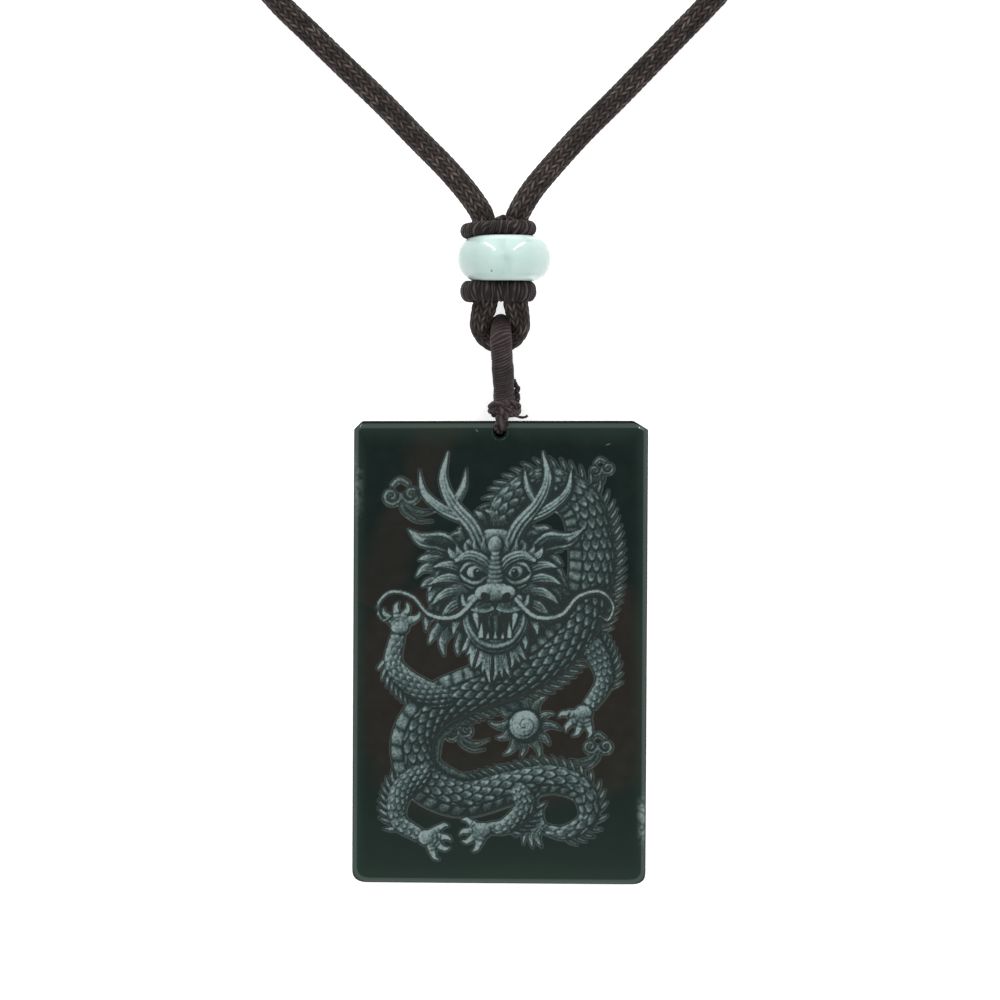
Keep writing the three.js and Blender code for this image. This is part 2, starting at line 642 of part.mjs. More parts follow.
// The wrapped join of the cord's two ends, a thread-bound sleeve with rolled ends
function sleeveGeometry() {
  const start = new THREE.Vector3(...SLEEVE.from);
  const way = new THREE.Vector3(...SLEEVE.to).sub(start);
  const length = way.length();
  const roll = 0.5;
  const profile = [
    [0, 0], [SLEEVE.radius - roll, 0], [SLEEVE.radius, roll], [SLEEVE.radius, length - roll],
    [SLEEVE.radius - roll, length], [0, length],
  ].map(([r, y]) => new THREE.Vector2(r, y));
  const geometry = new THREE.LatheGeometry(profile, 16);
  const turn = new THREE.Quaternion().setFromUnitVectors(new THREE.Vector3(0, 1, 0), way.normalize());
  geometry.applyQuaternion(turn);
  geometry.translate(...SLEEVE.from);
  return geometry;
}

const group = new THREE.Group();

function add(name, geometry, material) {
  const mesh = new THREE.Mesh(geometry, material);
  mesh.name = name;
  group.add(mesh);
  return mesh;
}

add('jade_tablet', tabletGeometry(), stone);
add('bead', beadGeometry(), paleStone).position.set(BEAD.x, BEAD.y, AXIS_Z);
add('upper_ring', ringGeometry(UPPER_RING_Y), thread);
add('lower_ring', ringGeometry(LOWER_RING_Y), thread);
add('cord_bight', tubeAlong(bightCurve(), BIGHT_DIAMETER, 22), braid);
add('hanging_loop', tubeAlong(hangingLoopCurve(), LOOP_DIAMETER, 20), thread);
add('loop_binding', bindingGeometry(), thread);
add('tablet_thread', tubeAlong(slabThreadCurve(), THREAD_DIAMETER, 18), thread);
add('neck_cord_left', tubeAlong(leftStrandCurve(), CORD_DIAMETER, 24), braid);
add('neck_cord_right', tubeAlong(rightStrandCurve(), CORD_DIAMETER, 12), braid);
add('neck_cord_end', tubeAlong(endStrandCurve(), CORD_DIAMETER, 12), braid);
add('cord_coil', coilGeometry(), braid);
add('coil_tie', tieFrame(0, TIE.width), thread);
add('join_sleeve', sleeveGeometry(), thread);

export default group;
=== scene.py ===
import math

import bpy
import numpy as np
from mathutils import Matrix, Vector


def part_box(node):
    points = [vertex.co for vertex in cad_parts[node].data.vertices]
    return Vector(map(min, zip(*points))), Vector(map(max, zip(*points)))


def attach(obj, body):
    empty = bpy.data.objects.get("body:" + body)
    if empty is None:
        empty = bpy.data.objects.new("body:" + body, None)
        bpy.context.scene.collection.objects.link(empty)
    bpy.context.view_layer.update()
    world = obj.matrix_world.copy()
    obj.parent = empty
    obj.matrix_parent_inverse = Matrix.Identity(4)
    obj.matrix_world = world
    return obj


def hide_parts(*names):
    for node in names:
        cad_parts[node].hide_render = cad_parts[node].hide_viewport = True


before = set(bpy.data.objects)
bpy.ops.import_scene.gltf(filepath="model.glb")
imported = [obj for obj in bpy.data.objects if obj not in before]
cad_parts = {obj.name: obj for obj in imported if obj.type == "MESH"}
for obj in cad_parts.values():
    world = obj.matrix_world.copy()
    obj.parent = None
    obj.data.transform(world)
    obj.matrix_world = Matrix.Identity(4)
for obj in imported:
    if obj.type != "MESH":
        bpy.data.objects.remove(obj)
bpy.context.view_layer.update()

# %% [markdown]
# # A jade tablet pendant on a braided neck cord
# The pendant lies on its back and the camera looks straight down on it.
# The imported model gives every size: +Y runs from the tablet's foot to its hanging hole,
# +Z comes out of the engraved face, and the origin is the middle of the back face.
# Shapes below are worked out in millimetres and turned to metres when a mesh is made.

MM = 0.001


def node_box(name):
    """Lowest and highest corner of a solid, in millimetres."""
    low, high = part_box(name)
    return np.array(low) / MM, np.array(high) / MM


# %% [markdown]
# ## The camera
# The photograph is square and shows about 130 mm of the pendant's width, seen square-on.
# A long lens from 75 cm keeps the thick bead and the flat tablet at the same scale, as there.

# %% Camera
VIEW_WIDTH = 129.6
VIEW_CENTRE = (0.0, 19.7)
CAMERA_HEIGHT = 750.0
MIDDLE_HEIGHT = 5.0
SENSOR = 36.0
camera_data = bpy.data.cameras.new("camera")
camera_data.sensor_fit = "HORIZONTAL"
camera_data.sensor_width = SENSOR
camera_data.lens = SENSOR * CAMERA_HEIGHT / VIEW_WIDTH
camera_data.clip_end = 10
camera = bpy.data.objects.new("camera", camera_data)
camera.location = (VIEW_CENTRE[0] * MM, VIEW_CENTRE[1] * MM, (CAMERA_HEIGHT + MIDDLE_HEIGHT) * MM)
bpy.context.scene.collection.objects.link(camera)
bpy.context.scene.camera = camera
bpy.context.scene.view_settings.view_transform = "Standard"
print(f"lens {camera_data.lens:.0f} mm")

# %% [markdown]
# ## Curves and surfaces
# Every piece here is a soft line with some thickness, or a turned or bevelled block.
# So three helpers carry the whole scene: one draws a smooth line through given points,
# one gives that line a frame to build round, and one turns a grid of points into a mesh.


# %% Lines, frames and grids
def smooth_line(points, count):
    """A Catmull-Rom curve: between two points a cubic that keeps the neighbours' slope."""
    p = np.asarray(points, float)
    q = np.vstack([2 * p[0] - p[1], p, 2 * p[-1] - p[-2]])
    t = np.linspace(0, len(p) - 1, count)
    i = np.minimum(t.astype(int), len(p) - 2)
    f = (t - i)[:, None]
    a, b, c, d = q[i], q[i + 1], q[i + 2], q[i + 3]
    bend = (2 * a - 5 * b + 4 * c - d) * f**2 + (3 * b - a - 3 * c + d) * f**3
    return 0.5 * (2 * b + (c - a) * f + bend)


def distance_along(line):
    """Running length of a line of points, starting at 0."""
    return np.concatenate([[0], np.cumsum(np.linalg.norm(np.diff(line, axis=0), axis=1))])


def at_distances(line, distances):
    """The points that lie at these distances along a line."""
    s = distance_along(line)
    return np.stack([np.interp(distances, s, line[:, k]) for k in range(3)], axis=1)


def frames(line, hint, closed=False):
    """Tangent, side and cap directions: side is tangent x hint, cap is side x tangent."""
    if closed:
        step = np.roll(line, -1, axis=0) - np.roll(line, 1, axis=0)
    else:
        step = np.gradient(line, axis=0)
    tangent = step / np.linalg.norm(step, axis=1, keepdims=True)
    side = np.cross(tangent, np.asarray(hint, float))
    side /= np.linalg.norm(side, axis=1, keepdims=True)
    return tangent, side, np.cross(side, tangent)


def grid_faces(rows, columns, closed_rows, closed_columns):
    """Corner numbers of the quads between a grid's rows and columns."""
    i = np.arange(rows if closed_rows else rows - 1)
    j = np.arange(columns if closed_columns else columns - 1)
    i, j = np.meshgrid(i, j, indexing="ij")
    i, j = i.ravel(), j.ravel()
    i2, j2 = (i + 1) % rows, (j + 1) % columns
    corners = [i * columns + j, i * columns + j2, i2 * columns + j2, i2 * columns + j]
    return np.stack(corners, axis=1), np.stack([i, j], axis=1)


def make_mesh(name, points, faces, values=None, uv=None, smooth=True):
    """A mesh from points in millimetres, a list of face arrays, values per point and UVs."""
    sizes = np.concatenate([np.full(len(f), f.shape[1]) for f in faces])
    corners = np.concatenate([f.ravel() for f in faces])
    mesh = bpy.data.meshes.new(name)
    mesh.vertices.add(len(points))
    mesh.vertices.foreach_set("co", (np.asarray(points) * MM).astype(np.float32).ravel())
    mesh.loops.add(len(corners))
    mesh.loops.foreach_set("vertex_index", corners.astype(np.int32))
    mesh.polygons.add(len(sizes))
    mesh.polygons.foreach_set("loop_start",
                              np.concatenate([[0], np.cumsum(sizes)[:-1]]).astype(np.int32))
    mesh.polygons.foreach_set("use_smooth", np.full(len(sizes), smooth))
    for key, value in (values or {}).items():
        layer = mesh.attributes.new(key, "FLOAT", "POINT")
        layer.data.foreach_set("value", np.asarray(value).astype(np.float32).ravel())
    if uv is not None:
        layer = mesh.uv_layers.new(name="UVMap")
        layer.data.foreach_set("uv", np.asarray(uv).astype(np.float32).ravel())
    mesh.update()
    mesh.validate()
    thing = bpy.data.objects.new(name, mesh)
    bpy.context.scene.collection.objects.link(thing)
    print(f"{name}: {len(points)} points, {int((sizes - 2).sum())} triangles")
    return thing


def tube_points(line, hint, radii, closed=False):
    """A surface round a line: point = line + side * a cos(turn) + cap * b sin(turn).
    radii is (a, b), each a grid of rows along by columns around."""
    a, b = np.asarray(radii[0]), np.asarray(radii[1])
    _, side, cap = frames(line, hint, closed)
    turn = np.linspace(0, 2 * np.pi, a.shape[1], endpoint=False)
    out = a * np.cos(turn), b * np.sin(turn)
    return line[:, None] + side[:, None] * out[0][:, :, None] + cap[:, None] * out[1][:, :, None]


def tube_uv(index, distances, columns):
    """UVs of a tube's quads: u runs once around, v is the distance along in millimetres."""
    row, column = index[:, 0], index[:, 1]
    v = np.stack([distances[row], distances[row], distances[row + 1], distances[row + 1]], axis=1)
    u = np.stack([column, column + 1, column + 1, column], axis=1) / columns
    return np.stack([u, v], axis=2).reshape(-1, 2)


# %% [markdown]
# ## The neck cord's route
# One braided cord comes out of the upper ring on both sides. The strands spread in a V.
# What the picture doesn't show is put away as for storage: it sweeps into a round coil
# of two layers just above the view, wound inwards below and outwards again on top.
# The points below are the same as the solids', so the cord lies in the space kept for it.

# %% Route of the neck cord
CORD_DIAMETER = 3.1
GROUND_Z = CORD_DIAMETER / 2 + 0.06
bead_low, bead_high = node_box("bead")
AXIS_Z = float(bead_low[2] + bead_high[2]) / 2
COIL_Y = 109.0
OUTER_TURN = 20.1
INNER_TURN = 12.35
UPPER_Z = GROUND_Z + 3.05
ENTER_ANGLE = 95
LEAVE_ANGLE = 85
SWEEP_ANGLE = 99
SWEEP_REACH = 14.9
SWEEP_POWER = 1.6
TIE_ANGLE = 270
TIE_LIFT = 0.62

left_strand = [
    (-2.05, 55.3, AXIS_Z), (-2.4, 56.8, AXIS_Z - 0.05), (-4.2, 59.5, 5.6), (-7, 62.8, 4.6),
    (-10.5, 66.4, 3.4), (-15.4, 71.5, 2), (-20.2, 76.1, GROUND_Z), (-24.6, 80.4, GROUND_Z),
    (-28.8, 84.5, GROUND_Z), (-31.9, 88.6, GROUND_Z), (-33.7, 94, GROUND_Z),
]
right_strand = [
    (2.05, 55.3, AXIS_Z), (2.4, 56.8, AXIS_Z - 0.05), (4.1, 59.7, 5.6), (6.6, 62.8, 4.6),
    (10.7, 67.4, 3.3), (14.95, 71.7, 2), (19.7, 76.6, GROUND_Z), (23.4, 80.4, 1.65),
    (26.9, 84, 2), (29.3, 87, 2.25), (33.1, 95.2, 2.25),
]


def smooth_step(x, low, high):
    """0 below low, 1 above high, an S-curve between."""
    t = np.clip((x - low) / (high - low), 0, 1)
    return t * t * (3 - 2 * t)


def on_coil(angle, radius, z):
    """Points round the coil's centre, with the cord lifted a little where the tie passes under."""
    turn = np.radians(angle)
    off = (np.asarray(angle) - TIE_ANGLE + 180) % 360 - 180
    lift = TIE_LIFT * np.exp(-((off / 16) ** 2)) * (np.asarray(radius) < OUTER_TURN + 0.1)
    return np.stack([radius * np.cos(turn), COIL_Y + radius * np.sin(turn), z + lift], axis=1)


def coil_route():
    """Sweep in, wind inwards at the ground, step up, wind outwards on top, sweep out."""
    part = np.linspace(1, 0, 7)[:-1]
    enter = on_coil(ENTER_ANGLE + SWEEP_ANGLE * part, OUTER_TURN + SWEEP_REACH * part**SWEEP_POWER,
                    np.full(len(part), GROUND_Z))
    turns = (OUTER_TURN - INNER_TURN) / CORD_DIAMETER
    wound = np.linspace(0, turns, int(24 * turns) + 1)
    lower = on_coil(ENTER_ANGLE - 360 * wound, OUTER_TURN - CORD_DIAMETER * wound,
                    np.full(len(wound), GROUND_Z))
    bottom_angle = ENTER_ANGLE - 360 * turns
    step_up = np.linspace(0, 110, 9)[1:]
    climb = on_coil(bottom_angle - step_up, np.full(len(step_up), INNER_TURN),
                    GROUND_Z + (UPPER_Z - GROUND_Z) * smooth_step(step_up, 0, 100))
    top_angle = bottom_angle - 110
    finish = LEAVE_ANGLE - 360 * math.ceil((LEAVE_ANGLE - top_angle) / 360 + 1.9)
    upper_turns = (top_angle - finish) / 360
    wound = np.linspace(0, 1, int(24 * upper_turns) + 1)[1:]
    upper = on_coil(top_angle + (finish - top_angle) * wound,
                    INNER_TURN + (OUTER_TURN - INNER_TURN) * wound, np.full(len(wound), UPPER_Z))
    part = np.linspace(0, 1, 9)[1:]
    leave = on_coil(LEAVE_ANGLE - SWEEP_ANGLE * part, OUTER_TURN + SWEEP_REACH * part**SWEEP_POWER,
                    UPPER_Z + (GROUND_Z - UPPER_Z) * smooth_step(part, 0.15, 0.75))
    print(f"coil: {turns:.1f} turns below, {upper_turns:.1f} turns above")
    return np.vstack([enter, lower, climb, upper, leave])


route = np.vstack([left_strand, coil_route(), right_strand[::-1]])
fine_route = smooth_line(route, 12000)
CORD_LENGTH = float(distance_along(fine_route)[-1])
print(f"neck cord: {CORD_LENGTH:.0f} mm, {len(route)} route points")

# %% [markdown]
# ## The braid
# The cord is a round braid of sixteen nylon yarns. Seen from outside it is a ring of
# narrow columns: in every second column the yarns lean left, in the others right, and
# each yarn dives under at the column's edge. The same formula shapes the mesh and the
# material, which adds what is finer than the mesh.

# %% Braid formula
COLUMNS = 16
YARN_PITCH = 0.98
LEAN = math.tan(math.radians(58))
column_width = math.pi * CORD_DIAMETER / COLUMNS
lean_shift = column_width * LEAN / YARN_PITCH


def braid_height(along, around):
    """Height 0 to 1 at a distance along in mm and a share of a turn around.
    The root of |sin(pi * phase)|, with phase = along / pitch + lean * place in the column,
    times an arch across the column."""
    across = around * COLUMNS
    column = np.floor(across)
    place = across - column
    lean = 1 - 2 * np.mod(column, 2)
    phase = along / YARN_PITCH + lean * lean_shift * (place - 0.5)
    yarn = np.sqrt(np.abs(np.sin(np.pi * phase)))
    return yarn * (0.35 + 0.65 * np.sqrt(np.clip(np.sin(np.pi * place), 0, 1)))


def cord_radii(distances, columns, radius, relief):
    """Radius of each ring's points: the cord's radius less what the braid lacks in height."""
    around = np.arange(columns) / columns
    return radius - relief * (1 - braid_height(distances[:, None], around[None, :]))


# %% [markdown]
# ## The neck cord's mesh
# The strands that the camera sees get fine rings of points, so the yarns stand up in the
# outline. The stored coil does with half as many. Three tubes are sewn into one at two
# seams, because the real cord is one unbroken piece.

# %% Neck cord mesh
CLOSE_STEP = 0.17
FAR_STEP = 0.33
CLOSE_LENGTH = 52.0
YARN_RELIEF = 0.2
CLOSE_COLUMNS, FAR_COLUMNS = 64, 32
near_left = np.arange(0, CLOSE_LENGTH, CLOSE_STEP)
far = np.arange(CLOSE_LENGTH, CORD_LENGTH - CLOSE_LENGTH, FAR_STEP)
near_right = CORD_LENGTH - near_left[::-1]


def stitch(dense_start, coarse_start, coarse_count, flip):
    """Triangles between a ring of 2n points and a ring of n points, three to each of n steps."""
    k = np.arange(coarse_count)
    d0, d1 = dense_start + 2 * k, dense_start + 2 * k + 1
    d2 = dense_start + (2 * k + 2) % (2 * coarse_count)
    c0, c1 = coarse_start + k, coarse_start + (k + 1) % coarse_count
    tri = np.concatenate([np.stack(t, axis=1) for t in ((d0, d1, c0), (d1, c1, c0), (d1, d2, c1))])
    return tri[:, ::-1] if flip else tri


def neck_cord_mesh():
    """Three tubes on one line, fine in view and coarser in the coil, sewn at their seams."""
    points, faces, uvs, centres, seams, start = [], [], [], [], [], 0
    for distances, columns in ((near_left, CLOSE_COLUMNS), (far, FAR_COLUMNS),
                               (near_right, CLOSE_COLUMNS)):
        radius = cord_radii(distances, columns, CORD_DIAMETER / 2, YARN_RELIEF)
        line = at_distances(fine_route, distances)
        grid = tube_points(line, (0, 0, 1), (radius, radius))
        quads, index = grid_faces(len(line), columns, False, True)
        faces.append(quads + start)
        uvs.append(tube_uv(index, distances, columns))
        points.append(grid.reshape(-1, 3))
        centres.append(line)
        seams.append((start, start + (len(line) - 1) * columns))
        start += len(line) * columns
    k = np.arange(FAR_COLUMNS)
    triangle_sets = [
        (stitch(seams[0][1], seams[1][0], FAR_COLUMNS, False), near_left[-1], far[0]),
        (stitch(seams[2][0], seams[1][1], FAR_COLUMNS, True), near_right[0], far[-1]),
    ]
    for triangles, dense_v, coarse_v in triangle_sets:
        faces.append(triangles)
        base = k / FAR_COLUMNS
        middle, after = base + 0.5 / FAR_COLUMNS, base + 1 / FAR_COLUMNS
        rows = [(base, dense_v, middle, dense_v, base, coarse_v),
                (middle, dense_v, after, coarse_v, base, coarse_v),
                (middle, dense_v, after, dense_v, after, coarse_v)]
        for u0, v0, u1, v1, u2, v2 in rows:
            corner = np.stack([np.stack([u, np.full(FAR_COLUMNS, v)], axis=1)
                               for u, v in ((u0, v0), (u1, v1), (u2, v2))], axis=1)
            if triangles is triangle_sets[1][0]:
                corner = corner[:, ::-1]
            uvs.append(corner.reshape(-1, 2))
    first_cap = seams[0][0] + np.arange(CLOSE_COLUMNS)[::-1][None, :]
    last_cap = seams[2][1] + np.arange(CLOSE_COLUMNS)[None, :]
    faces += [first_cap, last_cap]
    uvs.append(np.zeros((2 * CLOSE_COLUMNS, 2)))
    cord = make_mesh("neck_cord", np.concatenate(points), faces, uv=np.concatenate(uvs))
    return cord, np.concatenate(centres)


neck_cord, cord_line = neck_cord_mesh()

# %% [markdown]
# ## Colours and one node helper
# Colours are read off as sRGB and turned to linear light, because shaders mix light.
# A material is a small tree of nodes, so one helper makes a node, sets it and links it.


# %% Colour and node helpers
# A noise's scale counts its spots in a metre, so the scales below are spots per metre.
def linear(hex_colour):
    """sRGB hex to linear RGBA: up to 0.04045 divided by 12.92, above it
    ((c + 0.055) / 1.055) ** 2.4."""
    c = np.array([int(hex_colour[k:k + 2], 16) for k in (1, 3, 5)]) / 255
    low, high = c / 12.92, ((c + 0.055) / 1.055) ** 2.4
    return tuple(float(x) for x in np.where(c <= 0.04045, low, high)) + (1.0,)


def connect(tree, made, inputs):
    """Fills a node's inputs by name or number. Each gets a value, a hex colour, a socket, or
    a node, of which the first output in use is taken."""
    for key, value in inputs.items():
        if isinstance(value, bpy.types.Node):
            value = next(socket for socket in value.outputs if socket.enabled)
        if isinstance(value, bpy.types.NodeSocket):
            tree.links.new(value, made.inputs[key])
        else:
            made.inputs[key].default_value = linear(value) if isinstance(value, str) else value


def node(tree, kind, inputs=(), stops=(), **settings):
    """Adds a node of a kind, such as "Mix", or "Math.ADD" with its operation. Inputs come in
    order or as for connect, settings are properties, stops are a ramp's (place, hex colour)."""
    kind, _, operation = kind.partition(".")
    made = tree.nodes.new("ShaderNode" + kind)
    if operation:
        made.operation = operation
    for key, value in settings.items():
        setattr(made, key, value)
    for k, (place, colour) in enumerate(stops):
        elements = made.color_ramp.elements
        stop = elements[-1] if k == len(stops) - 1 else elements.new(place) if k else elements[0]
        stop.position, stop.color = place, linear(colour)
    connect(tree, made, inputs if isinstance(inputs, dict) else dict(enumerate(inputs)))
    return made


def new_material(name, principled):
    """A material with one Principled shader, its plain values set on the shader's own sockets."""
    material = bpy.data.materials.new(name)
    material.use_nodes = True
    tree = material.node_tree
    tree.nodes.clear()
    shader = node(tree, "BsdfPrincipled", principled)
    node(tree, "OutputMaterial", {"Surface": shader})
    return material, tree, shader


# %% [markdown]
# ## Braided nylon
# Braided nylon yarn is dull and soft, with a faint shine on the crown of each yarn. The colour
# is painted from the braid's height: near-black in the gaps between yarns, painted shade, and
# lighter on the crowns, painted light. The braid formula is written again in nodes on the cord's
# own UVs, so the yarns stay crisp at any distance, and each yarn gets a tone of its own.


# %% Braided cord material
# Worn blotches 1.4 mm wide, and fibres of 0.2 mm. Real filaments are 0.03 mm, too fine to
# show, so they are drawn as coarse as the picture needs.
CORD_BLOTCHES, CORD_FIBRES = 700.0, 5200.0


def braided_cord_material():
    """Tone = braid height * (0.35 + 0.8 blotch) * the yarn's own 0.7 to 1.32 * (0.75 + 0.5 fibre),
    through a ramp from black in the gaps, painted shade, to grey-brown on the crowns, painted
    light."""
    material, tree, shader = new_material("braided_nylon_cord",
                                          {"Roughness": 0.78, "Specular IOR Level": 0.16,
                                           "Sheen Weight": 0.06, "Sheen Roughness": 0.4})
    parts = node(tree, "SeparateXYZ", [node(tree, "UVMap", uv_map="UVMap")])
    around, along = parts.outputs[0], parts.outputs[1]
    across = node(tree, "Math.MULTIPLY", [around, COLUMNS])
    place = node(tree, "Math.FRACT", [across])
    column = node(tree, "Math.FLOOR", [across])
    lean = node(tree, "Math.MULTIPLY_ADD", [node(tree, "Math.FLOORED_MODULO", [column, 2.0]), -2.0,
                                            1.0])
    shift = node(tree, "Math.MULTIPLY", [node(tree, "Math.SUBTRACT", [place, 0.5]), lean_shift])
    phase = node(tree, "Math.ADD", [node(tree, "Math.DIVIDE", [along, YARN_PITCH]),
                                    node(tree, "Math.MULTIPLY", [lean, shift])])
    wave = node(tree, "Math.ABSOLUTE",
                [node(tree, "Math.SINE", [node(tree, "Math.MULTIPLY", [phase, math.pi])])])
    arch = node(tree, "Math.SINE", [node(tree, "Math.MULTIPLY", [place, math.pi])])
    height = node(tree, "Math.MULTIPLY",
                  [node(tree, "Math.SQRT", [wave]),
                   node(tree, "Math.MULTIPLY_ADD", [node(tree, "Math.SQRT", [arch]), 0.65, 0.35])])
    yarn = node(tree, "CombineXYZ", {0: node(tree, "Math.FLOOR", [phase]), 1: column})
    own_tone = node(tree, "TexWhiteNoise", {"Vector": yarn})
    where = node(tree, "TexCoord").outputs["Object"]
    blotch = node(tree, "TexNoise", {"Vector": where, "Scale": CORD_BLOTCHES, "Detail": 3.0})
    fibre = node(tree, "TexNoise", {"Vector": where, "Scale": CORD_FIBRES, "Detail": 2.0})
    tone = node(tree, "Math.MULTIPLY",
                [height, node(tree, "Math.MULTIPLY_ADD", [blotch, 0.8, 0.35])])
    tone = node(tree, "Math.MULTIPLY",
                [tone, node(tree, "Math.MULTIPLY_ADD", [own_tone, 0.62, 0.7])])
    tone = node(tree, "Math.MULTIPLY", [tone, node(tree, "Math.MULTIPLY_ADD", [fibre, 0.5, 0.75])])
    # Low braid height gets painted shade, near-black; the crowns get painted light.
    colour = node(tree, "ValToRGB", [tone],
                  stops=[(0.0, "#040303"), (0.22, "#0f0c0b"), (0.45, "#27211f"), (0.72, "#3d3633"),
                         (1.0, "#5d5550")])
    bump = node(tree, "Bump", {"Height": node(tree, "Math.MULTIPLY_ADD", [fibre, 0.15, height]),
                               "Strength": 0.6, "Distance": 0.15 * MM})
    connect(tree, shader, {"Base Color": colour, "Normal": bump})
    return material


braided_nylon = braided_cord_material()
neck_cord.data.materials.append(braided_nylon)

# %% [markdown]
# ## The fold of the neck cord
# The cord's middle is folded: both legs go up through the lower ring, the bead and the
# upper ring. It is the same braid, a little squeezed, so it is built by the same formula.

# %% Folded stretch
FOLD_Y, FOLD_Z, FOLD_RADIUS = 42.65, 4.33, 2.52
FOLD_DIAMETER = 2.75
fold_angle = np.linspace(math.pi, 2 * math.pi, 9)
fold_rise = (1 + np.sin(fold_angle)) ** 2
fold_arc = np.stack([FOLD_RADIUS * np.cos(fold_angle), FOLD_Y + FOLD_RADIUS * np.sin(fold_angle),
                     FOLD_Z + (5.3 - FOLD_Z) * fold_rise], axis=1)
fold_points = np.vstack([
    [(-1.6, 55.6, AXIS_Z), (-1.3, 53.5, AXIS_Z), (-1.2, 51, AXIS_Z), (-1.4, 48.3, AXIS_Z),
     (-1.86, 45.4, 5.95)],
    fold_arc,
    [(1.98, 45.4, 5.95), (1.6, 48.3, AXIS_Z), (1.75, 51, AXIS_Z), (1.6, 53.5, AXIS_Z),
     (1.6, 55.6, AXIS_Z)],
])
fold_line = smooth_line(fold_points, 1500)
fold_distances = np.arange(0, distance_along(fold_line)[-1], 0.17)


def capped_tube(name, line, distances, columns, hint, radius, relief):
    """A braided tube with both ends closed. Under the lower ring the cord is squeezed flat, so
    its width grows there by 0.2 exp(-((y - 45) / 2)^2)."""
    size = cord_radii(distances, columns, radius, relief)
    centres = at_distances(line, distances)
    flat = 1 + 0.2 * np.exp(-(((centres[:, 1:2] - 45) / 2) ** 2))
    grid = tube_points(centres, hint, (size * flat, size))
    quads, index = grid_faces(len(centres), columns, False, True)
    ring = np.arange(columns)
    faces = [quads, ring[::-1][None, :], (ring + (len(centres) - 1) * columns)[None, :]]
    uv = np.concatenate([tube_uv(index, distances, columns), np.zeros((2 * columns, 2))])
    return make_mesh(name, grid.reshape(-1, 3), faces, uv=uv)


cord_fold = capped_tube("folded_cord", fold_line, fold_distances, CLOSE_COLUMNS, (0, 0, 1),
                        FOLD_DIAMETER / 2,
                        YARN_RELIEF)
cord_fold.data.materials.append(braided_nylon)

# %% [markdown]
# ## Wound thread
# Rings, hanging loop, tie and join are all thread wound tightly on a core, so one formula
# gives them: a ridge for each thread, running round the section at a slight slant.


# %% Winding formula
def wound_ridges(along, around, pitch, starts, wander, slant=0.0):
    """Height 0 to 1 of threads wound side by side: |sin(pi * (along / pitch + starts * around
    + w))| to the power 0.6, where w wanders slowly so that no two windings are quite alike.
    A slant leans them one way over the top: slant * sin(2 pi (around - 1/2)). Where they
    wander, some lie lower."""
    turn = 2 * np.pi * around
    drift = wander * (np.sin(along * 1.7 + turn) + 0.6 * np.sin(along * 4.1 + 2.3))
    phase = along / pitch + starts * around + drift + slant * np.sin(turn - np.pi)
    wave = np.sin(2.65 * along / pitch + 1.3 * np.sin(turn))
    dip = np.clip(wave + wander * np.sin(3 * turn + 2 * along), 0, 1)
    return np.abs(np.sin(np.pi * phase)) ** 0.6 * (1 - min(0.4, 1.2 * wander) * dip)


def wound_tube(name, line, hint, half_width, half_depth, pitch, starts, relief,
               columns=32, step=0.09, closed=False, wander=0.12, slant=None, crisp=1.0):
    """A tube wound with thread. half_width, half_depth and slant are functions of the share of
    length. The value "lift" that the material reads is the ridge to the power crisp; from it the
    material paints shade into the gaps and light onto the crowns."""
    total = distance_along(np.vstack([line, line[:1]]) if closed else line)[-1]
    rows = int(total / step)
    distances = np.linspace(0, total, rows, endpoint=not closed)
    path = np.vstack([line, line[:1]]) if closed else line
    centres = at_distances(path, distances)
    share = distances / total
    around = np.arange(columns) / columns
    if closed:
        pitch = total / round(total / pitch)
    lean = slant(share)[:, None] if slant else 0.0
    ridge = wound_ridges(distances[:, None], around[None, :], pitch, starts, wander, lean)
    drop = relief * (1 - ridge)
    a = half_width(share)[:, None] - drop
    b = half_depth(share)[:, None] - drop
    grid = tube_points(centres, hint, (a, b), closed)
    quads, index = grid_faces(rows, columns, closed, True)
    ends = np.append(distances, total)
    faces, uv = [quads], [tube_uv(index, ends, columns)]
    if not closed:
        ring = np.arange(columns)
        faces += [ring[::-1][None, :], (ring + (rows - 1) * columns)[None, :]]
        uv.append(np.zeros((2 * columns, 2)))
    return make_mesh(name, grid.reshape(-1, 3), faces, {"lift": ridge**crisp}, np.concatenate(uv))


def always(value):
    """A size that is the same all along."""
    return lambda share: np.full_like(share, value)


# %% [markdown]
# ## Twisted nylon thread
# The thread is duller than the braid and a little redder in places, as black nylon gets
# when it fades. Its height comes with the mesh, and the same ridge height paints the colour:
# near-black in the gaps between windings, painted shade, and lighter on the crowns, painted
# light. A fine noise stands for the fuzz of single fibres.


# %% Wound thread material
# Blotches 2.4 mm wide, faded patches of 6 mm, and fuzz of 0.15 mm, again drawn coarse.
THREAD_BLOTCHES, THREAD_PATCHES, THREAD_FUZZ = 420.0, 160.0, 6500.0


